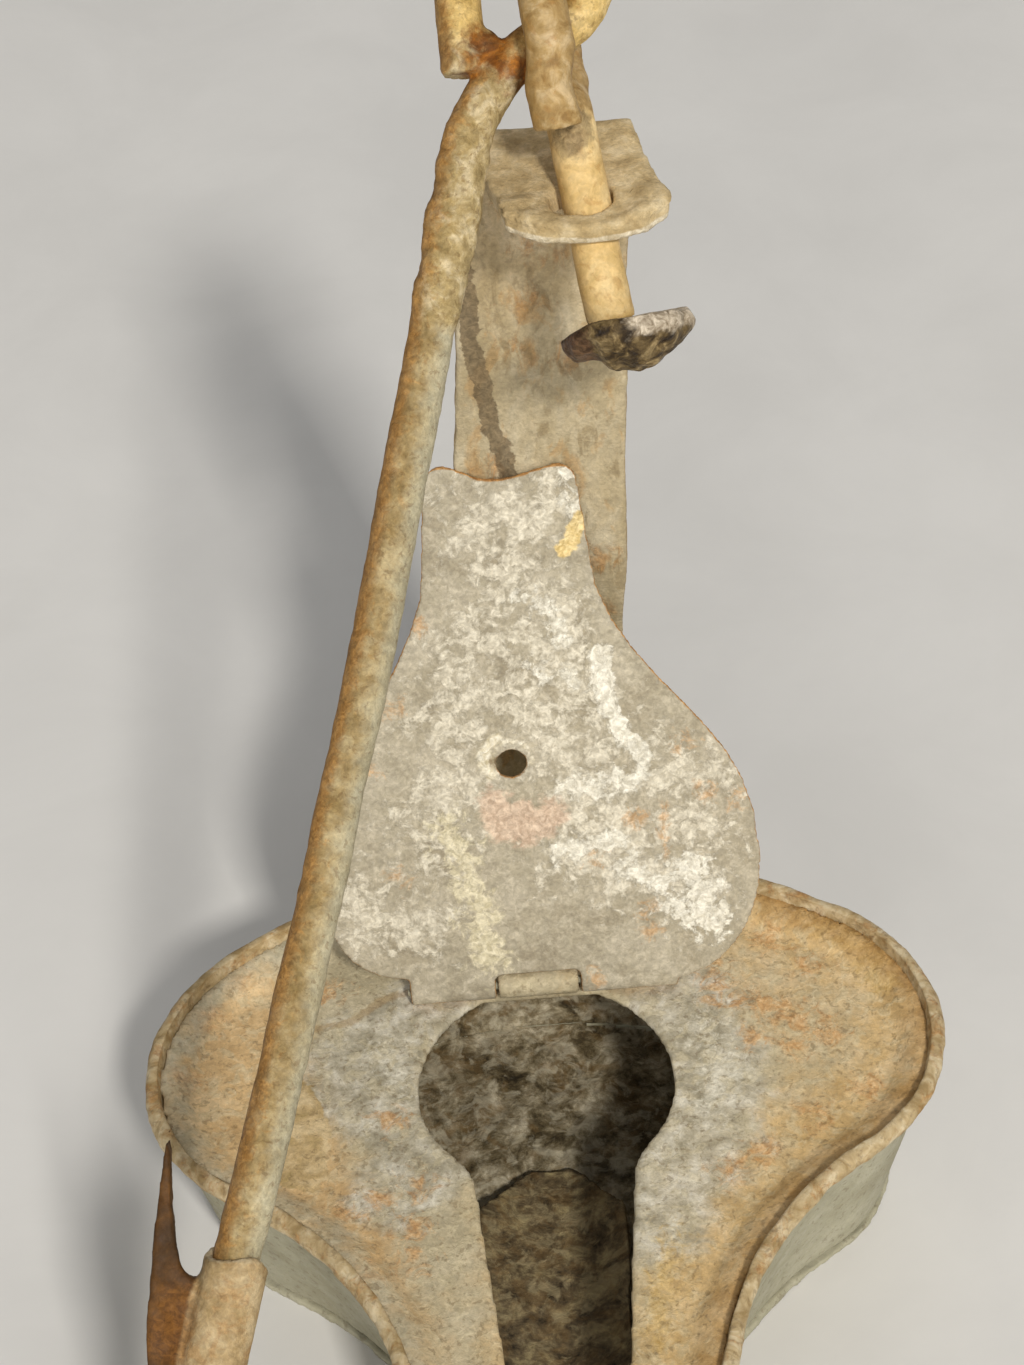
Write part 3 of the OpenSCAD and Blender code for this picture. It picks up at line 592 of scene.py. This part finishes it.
def lid_paint(points, normals):
    spots, strokes = brush(points, on_lid)
    burr = [(-2.6, 31.6), (-3.7, 30.6), (-4.2, 29.4), (-4.1, 28.2), (-3.4, 27.2)]
    rusty = [(20.3, 23.1), (18.5, 29.5), (12.8, 8.9), (13.2, 6.5), (-13.7, 36.2), (-17, 29), (-14.5, 15.6),
             (-10.1, 46), (6.6, 0.8), (7.5, 15.8), (12, 20.5), (24, 22)]
    return {
        "bloom": strokes(
            6,
            [(-2, 57), (1.3, 58), (4.8, 58)],
            [(-2.5, 53.7), (-0.5, 51), (2.5, 49.5), (5.5, 47.8), (6.6, 44.3)],
            [(-4, 45), (-0.4, 43.4), (3.7, 43), (7, 36)],
            [(-6.5, 40), (-2.6, 37.5), (1.8, 35.5), (3.7, 31.5)],
            [(-9, 34), (-6.8, 31.4), (-7.2, 25.8), (-11, 22.8), (-10.4, 18)],
            [(4.5, 32.7), (6.1, 25.8), (11, 23.6), (16.3, 25.4), (21, 24.9)],
            [(7, 20), (14, 20), (20, 19)],
            [(-20, 14), (-17.5, 9.3), (-12, 9)],
            [(4.5, 17), (9.7, 17.4), (7.4, 14.7), (14, 13), (19, 12)],
        ),
        "column": 1.3 * strokes(3.0, [(-9, 21), (-7.8, 18.4), (-6.2, 13), (-6, 8.2), (-5.3, 4.6)]),
        "thick": np.maximum.reduce([
            2.4 * strokes(1.5, [(9.6, 41), (9.5, 37.2), (10.3, 33.6), (11.6, 30.8), (13.4, 28.2)]),
            1.2 * strokes(2.2, [(5, 25), (8, 25), (13, 25.5)], [(4, 17.3), (9.7, 17.6)],
                          [(11, 15), (14.6, 12.3)]),
            strokes(1.6, [(7.4, 62), (7.5, 57.8)], [(1, 48.5), (4.5, 46), (5.5, 43)], [(2, 40), (7, 38)]),
            1.4 * spots(4.0, (17.7, 13.2), (19.6, 7.7), (16.8, 9), (19, 10.5)),
        ]),
        "pink": strokes(2.0, [(-3, 23.5), (-2.5, 20.8), (0, 20), (2.8, 21.6)], [(-1, 22), (1, 21)]),
        "ochre": strokes(0.9, [(8.3, 56.6), (7.5, 54.7), (6.4, 53.5)]),
        "rust": np.maximum(spots(1.6, *rusty), strokes(0.8, [(15.3, 22), (15.4, 15.7)])),
        "edge": 1.2 - 2 * np.abs(normals @ LID_BACK),
        "worn": np.maximum(strokes(0.6, burr), 0.1 - np.abs(hole_away(points) - LID_HOLE_R)),
        "dent": spots(0.8, (-3.0, 28.7)),
    }


def hole_away(points):
    """Distance from the middle of the lid's hole, along the lid."""
    return off_line(points, on_lid(*LID_HOLE), LID_BACK)


def lid_shape(points, normals):
    """Wavy outline, slight dome, bent corner, notch and burr, with the hinge left true."""
    away = points - HINGE
    u = away @ LID_ALONG
    wander = 0.15 * drift(points, 11, 3)
    wander = wander - np.outer(wander @ LID_BACK, LID_BACK)
    corner = rise(near(points, [on_lid(-6, LID_END)], 4.5), 0, 0.9)
    notch = rise(near(points, [on_lid(-2.2, LID_END)], 1.8), 0, 0.9)
    tall = 0.6 * rise(u, 50, 62) + 0.6 * corner - 0.5 * notch
    across = np.cos(np.clip(away[:, 0] / 30, -1, 1) * math.pi / 2)
    dome = 0.45 * across * rise(u, 6, 25) * (1 - rise(u, 40, 62))
    sway = 0.2 * (noise(points, 22, 9) + 1) * rise(u, 6, 20) * (1 - rise(u, 45, 60))
    burr = 0.25 * rise(lid_paint(points, normals)["worn"], 0, 0.8) * rise(-(normals @ LID_BACK), 0.3, 0.8)
    bent = dome + sway - burr + 0.5 * corner
    moves = wander + hammered(points, normals, 3, 0.06, 0.04, 0.02)
    moves = moves + np.outer(bent, LID_BACK) + np.outer(tall, LID_ALONG)
    return points + moves * hinge_free(points)[:, None]


def pin_shape(points, normals):
    """Thinner than its bores, so that the lid turns round it."""
    round_part = normals * (0, 1, 1)
    return plain(16, 0, 0.02, 0.01, 0.01)(points, normals) - PIN_PLAY * round_part


# Pan

TREE_VOXEL = 0.6  # mesh size for searching
NEAREST = 12  # places whose mean gives a direction
EDGE_LIFT = 2.1  # how far the top plate's edge turns up
EDGE_REACH = 1.8  # how far it reaches out to the rim
RIM_PRESS = 0.75  # how much thinner the rim is on its inside


def level_tree(node, low=0):
    """Search tree of the level places of a solid's points above a height."""
    mesh = evened(node, TREE_VOXEL)
    points = read(mesh.vertices, "co")
    bpy.data.meshes.remove(mesh)
    return filled_tree(points[points[:, 2] > low] * (1, 1, 0))


def side_tree(node):
    """Search tree of the level places of a solid's side faces."""
    mesh = evened(node, TREE_VOXEL)
    centres = read(mesh.polygons, "center")
    sides = np.abs(read(mesh.polygons, "normal")[:, 2]) < 0.4
    bpy.data.meshes.remove(mesh)
    return filled_tree(centres[sides] * (1, 1, 0))


def filled_tree(points):
    """Search tree of places, and the places themselves."""
    tree = KDTree(len(points))
    for i, p in enumerate(points):
        tree.insert(p, i)
    tree.balance()
    return tree, points


def level_step(points, tree):
    """Level direction to the places of a tree near each point, and distance to the nearest."""
    search, places = tree
    flat = points * (1, 1, 0)
    found = [search.find_n(p, NEAREST) for p in flat]
    reach = np.array([near_ones[0][2] for near_ones in found])
    which = np.array([[one[1] for one in near_ones] for near_ones in found])
    step = places[which].mean(axis=1) - flat
    return step / np.maximum(np.linalg.norm(step, axis=1), 0.05)[:, None], reach


def on_deck(x, y):
    """Place on the top plate."""
    return (x, y, DECK_Z)


def deck_paint(points, normals):
    spots, strokes = brush(points, on_deck)
    gap = level_step(points, RIM)[1]
    x = points[:, 0]
    y = points[:, 1]
    right = rise(x - 0.15 * y, -6, 10)
    left_grey = [(-13.5, 12), (-17.7, 8.7), (-21, 5.3), (-21.5, 1.7), (-18, -2), (-14, -8), (-17, -14)]
    right_grey = [(16.5, 10), (18, 4), (19, -1), (18, -7.6), (14.7, -12.6), (10.5, -19)]
    rusty = [(20.4, 15.1), (27.1, 18.4), (28.1, 2.2), (24, 4.5), (35.2, -4.5), (22.9, -12.1), (29.7, -7.9),
             (19.8, -14.4), (-34.7, 18.3), (-38, 12.7), (-40.7, 3.5), (-15, -13.2), (-19.6, -14.5),
             (-22.8, -15.9), (-15.9, -19.2), (-15.6, -22.1), (-20.2, -25), (-21.2, -27), (-24.2, 15.7),
             (-17.2, -3.4), (31, 14)]
    return {
        "warm": np.minimum(1 - gap / 11, (x + 6) / 8),
        "lobe": (-24 - x - 0.3 * y) / 6,
        "grey": np.maximum(strokes(5.5, left_grey), strokes(6, right_grey)),
        "white": np.maximum(
            strokes(3.0, [(18, 6), (20, -1), (18.4, -4.7)]),
            strokes(2.5, [(-18, 6), (-16, 1)]),
        ),
        "olive": strokes(2.9, [(-28.5, 0), (-27.2, -5), (-27.3, -10)]),
        "rust": np.maximum(
            strokes(2.6, [(21, 11), (24, 9.2), (27, 7.6), (30, 5.8), (32.4, 4.2)]),
            spots(2.4, *rusty),
        ),
        "ochre": strokes(2.2, [(12.7, -22.3), (10.4, -27.9), (9.6, -35)], [(33, 20), (37.4, 15), (39.5, 10)]),
        # Hollow by the rim: pale and painted light on the left, rust and painted shade on the right
        "pale_gutter": 0.7 - gap / 2.4 - 1.5 * right,
        "gutter": 1.0 - gap / 1.8 - 1.2 * (1 - right),
        # Crease where the plate meets the rim: painted shade, partly rust
        "groove": 0.9 - gap / 0.6 - 0.9 * (1 - right),
        "line": strokes(0.5, [(-26.5, 10.1), (-21.7, 11), (-17.9, 14), (-14.9, 14.7)]),
    }


def deck_shape(points, normals):
    """The plate turns up at its edge and meets the rim in a hollow, with crust on its left."""
    out, gap = level_step(points, RIM)
    free = np.maximum(hinge_free(points), rise(np.abs(points[:, 0]), 26, 31))
    lift = (EDGE_LIFT + 0.25 * noise(points, 9, 83)) * (1 - rise(gap, 0, 2 * EDGE_LIFT)) ** 1.5
    reach = EDGE_REACH * (1 - rise(gap, 0, EDGE_REACH + 0.4))
    crust = 0.22 * rise(deck_paint(points, normals)["olive"], 0, 0.15) * rise(normals[:, 2], 0.3, 0.8)
    wander = 0.2 * drift(points, 11, 11) * (1, 1, 0) - np.outer(0.12 * (1 + noise(points, 14, 71)), UP)
    moves = wander + hammered(points, normals, 11, 0.08, 0.06, 0.025) + np.outer(lift + crust, UP)
    return points + (moves + out * reach[:, None]) * free[:, None]


def wall_paint(points, normals):
    rim = (points[:, 2] - DECK_Z + 0.6) / 1.2
    return {"rim": rim, "rust": np.minimum(rim, 0.6) - 0.5}


def wall_shape(points, normals):
    """The rolled rim is pressed thin from inside, and its crest wavers."""
    crest = rise(points[:, 2], DECK_Z - 0.2, DECK_Z + 0.7)
    toward = level_step(points, DECK_EDGE)[0]
    pressed = RIM_PRESS * crest * rise(np.sum(normals * toward, axis=1), -0.1, 0.8)
    waver = 0.14 * noise(points * (1, 1, 0), 16, 77) + 0.1 * noise(points, 4.5, 79)
    lumps = 0.12 * crest * fractal(points, 2.4, 2, 87)
    moved = plain(21, 0.12, 0.1, 0.05, 0.03)(points, normals) + np.outer(crest * waver, UP)
    return moved + normals * lumps[:, None] - normals * (1, 1, 0) * pressed[:, None]


def wall_inner(centres, normals):
    """Inner face of the leaning wall, with its lower edge."""
    low = (centres[:, 2] < 2.5) & (level_step(centres, FLOOR_SIDE)[1] > 1.0)
    return low | ((normals[:, 2] > 0.05) & (centres[:, 2] < DECK_Z - 0.6))


def floor_inner(centres, normals):
    """Upper faces, apart from the lip outside the wall."""
    return (normals[:, 2] > 0.5) & (level_step(centres, FLOOR_SIDE)[1] > 1.2)


def trough_shape(points, normals):
    """Thin crust, and a left edge that spreads towards the wall."""
    spread = 1.6 * rise(-points[:, 0], 2, 7) * rise(points[:, 1], -48, -38)
    return crusted(15, 0.18)(points, normals) - np.outer(spread, SIDEWAYS)


def crusted(seed, height):
    """Lumpy crust of old fat and scale on upper faces."""
    def shape(points, normals):
        lumps = height * fractal(points, 4.5, 4, seed) * rise(normals[:, 2], 0, 0.6)
        return plain(seed, 0.2, 0.1, 0.06, 0.04)(points, normals) + normals * lumps[:, None]
    return shape


# Bracket

COLLAR_R = 4.6  # just over the loose hole's radius


def pin_at(z):
    """Middle of the swivel pin at a height."""
    return SWIVEL_AT + SWIVEL_UP * ((z - SWIVEL_AT[2]) / SWIVEL_UP[2])


def lug_collar(mesh):
    """Fills the loose hole up to the pin, with a gap on its left."""
    steps = np.linspace(0, 2 * math.pi, 64, endpoint=False)
    gap = 0.25 + 1.0 * rise(-np.cos(steps - 0.25), 0.55, 1)
    rings = []
    for z in (LUG_Z, LUG_Z - STRAP_T):
        centre = pin_at(z)
        wide = PIN_R / math.cos(math.asin(abs(SWIVEL_UP[0]))) + gap
        deep = PIN_R / math.cos(math.asin(SWIVEL_UP[1])) + gap
        level = np.full(len(steps), z)
        x = np.cos(steps)
        y = np.sin(steps)
        inner = np.stack([centre[0] + wide * x, centre[1] + deep * y, level], axis=1)
        outer = np.stack([SWIVEL_AT[0] + COLLAR_R * x, SWIVEL_AT[1] + COLLAR_R * y, level], axis=1)
        rings.append((inner, outer))
    (top_in, top_out), (low_in, low_out) = rings
    add_band(mesh, [top_in, top_out, low_out, low_in])


def on_strap(x, z):
    """Place on the strap's front."""
    return (x, STRAP_Y, z)


def bracket_paint(points, normals):
    spots, strokes = brush(points, on_strap)
    flat = np.where(points[:, 2] < LUG_Z - 3, np.abs(normals[:, 1]), np.abs(normals[:, 2]))
    streak = [(-2.4, 121), (-2.3, 112), (-2.0, 106), (-1.9, 100), (-1.0, 95), (-0.3, 89), (0.9, 85),
              (1.2, 81)]
    rusty = [(-0.5, 84), (4.4, 105), (5.0, 112), (7.6, 110), (10.2, 70), (10, 62), (3.5, 99), (4.0, 118),
             (8.5, 97)]
    return {
        # Upper strap zone, warmer and painted lighter against the cast shadow of the lug, pin and button
        "high": (points[:, 2] - 106) / 14,
        "lug": np.minimum((points[:, 2] - LUG_Z + 2.2) / 0.6, (STRAP_Y + 1 - points[:, 1]) / 2),
        "streak": strokes(0.95, streak),
        "rust": spots(2.4, *rusty),
        "edge": np.minimum(0.9 - 2 * flat, LUG_Z - 4 - points[:, 2]),
        "worn": np.minimum(STRAP_Y - points[:, 1] - 12.5, (LUG_Z - 1.2 - points[:, 2]) / 0.4),
    }


def bracket_shape(points, normals):
    """Ragged edges and an upset front lip, with the collar round the pin left as it is."""
    free = rise(off_line(points, SWIVEL_AT, SWIVEL_UP), 3.5, 6)
    front = rise(STRAP_Y - points[:, 1], 10, 14) * rise(points[:, 2], LUG_Z - 3, LUG_Z - 2)
    bar = 0.5 * rise(STRAP_Y - points[:, 1], 10.4, 12.6) * rise(normals[:, 2], 0.2, 0.7)
    upset = 0.25 * front * fractal(points, 2.4, 3, 93) + bar
    moves = plain(17, 0.3, 0.2, 0.16, 0.05)(points, normals) - points + normals * upset[:, None]
    return points + moves * free[:, None]


# Swivel

BUTTON_TOP = 10.8  # the button's distance below the swivel's middle


def by_swivel(points):
    """Distances from the swivel's middle: to its right, ahead of it and up its pin."""
    away = points - SWIVEL_AT
    return away @ SWIVEL_SIDE, -(away @ SWIVEL_BACK), away @ SWIVEL_UP


def swivel_paint(points, normals):
    ahead, up = by_swivel(points)[1:]
    return {
        "eye": np.maximum((up - 9) / 3, np.minimum((ahead - 2.2) / 0.6, (up - 5) / 2)),
        "joint": near(points, [SWIVEL_AT + SWIVEL_UP * 6.9 - SWIVEL_BACK * 2.3], 2.2),
        # Side turned from the key lamp, for the pin's painted shade
        "left": -(normals @ SWIVEL_SIDE),
    }


def swivel_shape(points, normals):
    """The lapped end lies a little to the left of the shank and is lumpy from the hammer."""
    ahead, up = by_swivel(points)[1:]
    limb = rise(ahead, 2.0, 2.8) * rise(up, 4.5, 6) * (1 - rise(up, 11, 15))
    lumps = rise(up, 5.5, 8) * (1 - rise(up, 14, 17)) * 0.25 * fractal(points, 3.4, 3, 45)
    free = 0.2 + 0.8 * rise(np.abs(up), 3, 5)
    moves = (plain(41, 0.1, 0.05, 0.04, 0.025)(points, normals) - points) * free[:, None]
    return points + moves + normals * lumps[:, None] - np.outer(0.9 * limb, SWIVEL_SIDE)


def button_paint(points, normals):
    side, _, up = by_swivel(points)
    return {
        "tongue": (-side - 2.0) / 2,
        # Upper right rim of the button: wear and painted highlight
        "worn": np.minimum((side - 1.5) / 2, (BUTTON_TOP + 1.8 + up) / 0.8),
    }


def button_shape(points, normals):
    """The left edge droops like a tongue, steps back from the dome, and all of it is rough."""
    side, _, up = by_swivel(points)
    below = -BUTTON_TOP - up
    under = rise(-(normals @ SWIVEL_UP), 0, 0.5)
    tongue = 0.9 * rise(-side, 1.5, 5.5)
    sag = np.clip(below, 0, None) * 0.22 * rise(side, -3, 2)
    belly = 0.7 * rise(side, 0.5, 3) * np.sin(np.clip(below / 4.2, 0, 1) * math.pi)
    dent = 0.55 * under * rise(-side, 1.0, 1.9) * (1 - rise(-side, 2.2, 4))
    broken = (0.3 * fractal(points, 2.6, 3, 57) - 0.2 * rise(noise(points, 1.6, 59), 0.2, 0.7)) * under
    moved = plain(51, 0.35, 0.3, 0.16, 0.08)(points, normals) + normals * broken[:, None]
    return moved - np.outer(tongue + sag - dent, SWIVEL_UP) + np.outer(0.15 * sag + belly, SWIVEL_SIDE)


# Hanger

# Distances down the rod from the ring's middle
LAP_END = 34
BOW_FROM = 18
SOCKET_AT = 122


def by_hanger(points):
    """Distances from the ring's middle: to the rod's right and down it."""
    away = points - RING_AT
    return away @ ROD_SIDE, -(away @ ROD_UP)


def on_ring(x, up):
    """Place in the ring's plane from its middle."""
    return RING_AT + ROD_SIDE * x + ROD_UP * up


def ring_web(mesh):
    """Rusty bead between the ring's butted end and the rod."""
    add_beads(mesh, [(on_ring(-2.4, -7.3), 1.5), (on_ring(-1.5, -7.9), 1.5), (on_ring(-2.2, -9.2), 1.6)])


def rod_paint(points, normals):
    down = by_hanger(points)[1]
    left = -(normals @ ROD_SIDE)
    return {
        "ring": (8 - down) / 4,
        "crust": np.minimum((down - 9) / 4, (LAP_END - down) / 2),
        # Side turned from the key lamp, for the rod's painted shade and its rust
        "left": 1.3 * left - 0.2,
        # Side that faces the key lamp, for the rod's painted highlight
        "right": -left - 0.45,
        "joint": along(points, [on_ring(-2.6, -8.2), on_ring(-0.6, -8.4), on_ring(1.0, -8.6)], 2.6),
    }


def rod_shape(points, normals):
    """A slight bow, and a crusted lap below the ring, which is left nearly true."""
    down = by_hanger(points)[1]
    front = -(normals @ RING_BACK)
    free = 0.3 + 0.7 * rise(down, 4, 12)
    bow = np.sin(np.clip((down - BOW_FROM) / (SOCKET_AT - BOW_FROM), 0, 1) * math.pi)
    crust = (1 - rise(down, LAP_END - 2, LAP_END + 0.5)) * rise(down, 10, 18)
    lumps = 0.45 * crust * (0.35 + fractal(points, 3.2, 4, 91)) * (0.6 + 0.4 * front)
    layer = 0.35 * crust * rise(front, -0.2, 0.6)
    moves = plain(31, 0.22, 0.1, 0.07, 0.06)(points, normals) - points
    return points + moves * free[:, None] + normals * (lumps + layer)[:, None] + np.outer(bow, ROD_SIDE)


def hook_paint(points, normals):
    side, down = by_hanger(points)
    return {
        # The barb, for its dark rust and painted shade
        "barb": (-side - 5.6) / 0.8,
        "crotch": np.minimum(1 - np.hypot(side + 5.2, down - SOCKET_AT - 8) / 4, -side - 4.5),
        "lip": np.minimum((SOCKET_AT + 0.6 - down) / 0.5, side + 6),
    }


def hook_shape(points, normals):
    """A torn upper lip on the socket, and a hammered skin."""
    down = by_hanger(points)[1]
    torn = (1 - rise(down, SOCKET_AT, SOCKET_AT + 5)) * 0.9 * noise(points, 3.0, 66)
    return plain(61, 0.25, 0.12, 0.07, 0.045)(points, normals) + np.outer(torn, ROD_UP)


# Pieces

RIM = level_tree("side_wall", RIM_Z - 1.6)
DECK_EDGE = level_tree("top_plate")
FLOOR_SIDE = side_tree("floor_plate")
DECK = deck_finish()
WALL = wall_finish()
# Dark crust inside the pan and on the wick support; its pale flecks are partly painted highlights
INSIDE = inner_finish("inside_crust", ("#2e2618", "#5f533b", "#8e8268", "#beb39a"), 4, "#b9b098")
TROUGH = inner_finish("wick_support_tan", ("#31281b", "#6b5c43", "#a5956d"), 3, "#a59672")
BRACKET = bracket_finish()
PLAIN_WALL = even(rim=-1, rust=-1)
PLAIN_BRACKET = even(high=-3, lug=-3, streak=-3, rust=0, edge=-3, worn=-3)
RIVET_SHAPE = plain(19, 0.1, 0.12, 0.05, 0.03)

forged("lid", "lid", [lid_finish()], lid_shape, lid_paint, voxel=0.36)
forged("side_wall", "pan", [WALL, INSIDE], wall_shape, wall_paint, wall_inner)
forged("top_plate", "pan", [DECK], deck_shape, deck_paint)
forged("floor_plate", "pan", [WALL, INSIDE], crusted(13, 0.35), PLAIN_WALL, floor_inner)
forged("wick_support", "pan", [TROUGH], trough_shape, voxel=0.4)
forged("hinge_pin", "pan", [WALL], pin_shape, PLAIN_WALL, voxel=0.25)
forged("bracket", "pan", [BRACKET], bracket_shape, bracket_paint, extra=lug_collar, voxel=0.4)
forged("bracket_rivets", "pan", [BRACKET], RIVET_SHAPE, PLAIN_BRACKET, voxel=0.3)
forged("swivel_pin", "swivel", [swivel_finish()], swivel_shape, swivel_paint, voxel=0.33)
forged("swivel_button", "swivel", [button_finish()], button_shape, button_paint, voxel=0.3)
forged("hanger_rod", "hanger", [rod_finish()], rod_shape, rod_paint, extra=ring_web,
       voxel=0.36)
forged("hook_head", "hanger", [hook_finish()], hook_shape, hook_paint, voxel=0.36)


# Floor, light and camera

# In metres
FLOOR_R = 3
LAMP_AWAY = 2.5
LAMP_AIM = Vector((0, 0, 0.06))


def floor():
    """Plain pale disc under the part."""
    mesh = bpy.data.meshes.new("floor")
    disc = bmesh.new()
    bmesh.ops.create_circle(disc, cap_ends=True, radius=FLOOR_R, segments=48)
    disc.to_mesh(mesh)
    disc.free()
    obj = bpy.data.objects.new("floor", mesh)
    bpy.context.scene.collection.objects.link(obj)
    f = Finish("pale_floor")
    mesh.materials.append(f.done(f.skin(40, "#d3d1cd", "#d9d7d3"), 0.85, 0.95, f.grain(3, 2, 0.5), 0.02))


def lamp(name, direction, size, watts, colour):
    """Square lamp that looks at the part from a direction."""
    place = LAMP_AIM + Vector(direction).normalized() * LAMP_AWAY
    data = bpy.data.lights.new(name, "AREA")
    data.shape = "SQUARE"
    data.size = size
    data.energy = watts
    data.color = colour
    obj = bpy.data.objects.new(name, data)
    bpy.context.scene.collection.objects.link(obj)
    obj.location = place
    obj.rotation_mode = "QUATERNION"
    obj.rotation_quaternion = (LAMP_AIM - place).to_track_quat("-Z", "Y")


def lights():
    """Small warm key from the front right, two wide fills and a dim even sky."""
    lamp("key", (0.22, -0.70, 0.68), 0.25, 46, (1.0, 0.97, 0.92))
    lamp("front", (-0.15, -0.94, 0.3), 1.25, 20, (1.0, 0.98, 0.95))
    lamp("top", (0.3, 0.6, 0.7), 1.5, 12, (1.0, 0.98, 0.95))
    world = bpy.data.worlds.new("studio")
    world.use_nodes = True
    sky = world.node_tree.nodes["Background"]
    sky.inputs["Color"].default_value = (0.95, 0.97, 1.0, 1)
    sky.inputs["Strength"].default_value = 0.22
    bpy.context.scene.world = world


def camera():
    """The photograph's view: focal length and pose fitted to a frame of 1024 by 1365 pixels."""
    long_side = 1365
    focal = 3000
    elevation = math.radians(43)
    roll = math.radians(-4.52)
    place = Vector((-0.32, -215.23, 284.01)) * MM
    back = Vector((0, -math.cos(elevation), math.sin(elevation)))
    level = Vector((1, 0, 0))
    right = level * math.cos(roll) + back.cross(level) * math.sin(roll)
    data = bpy.data.cameras.new("photo_view")
    data.sensor_width = 36
    data.lens = focal * data.sensor_width / long_side
    data.clip_start = 0.01
    obj = bpy.data.objects.new("photo_view", data)
    turn = Matrix((right, back.cross(right), back)).transposed().to_4x4()
    obj.matrix_world = Matrix.Translation(place) @ turn
    bpy.context.scene.collection.objects.link(obj)
    bpy.context.scene.camera = obj


floor()
lights()
camera()
bpy.context.scene.view_settings.view_transform = "Standard"
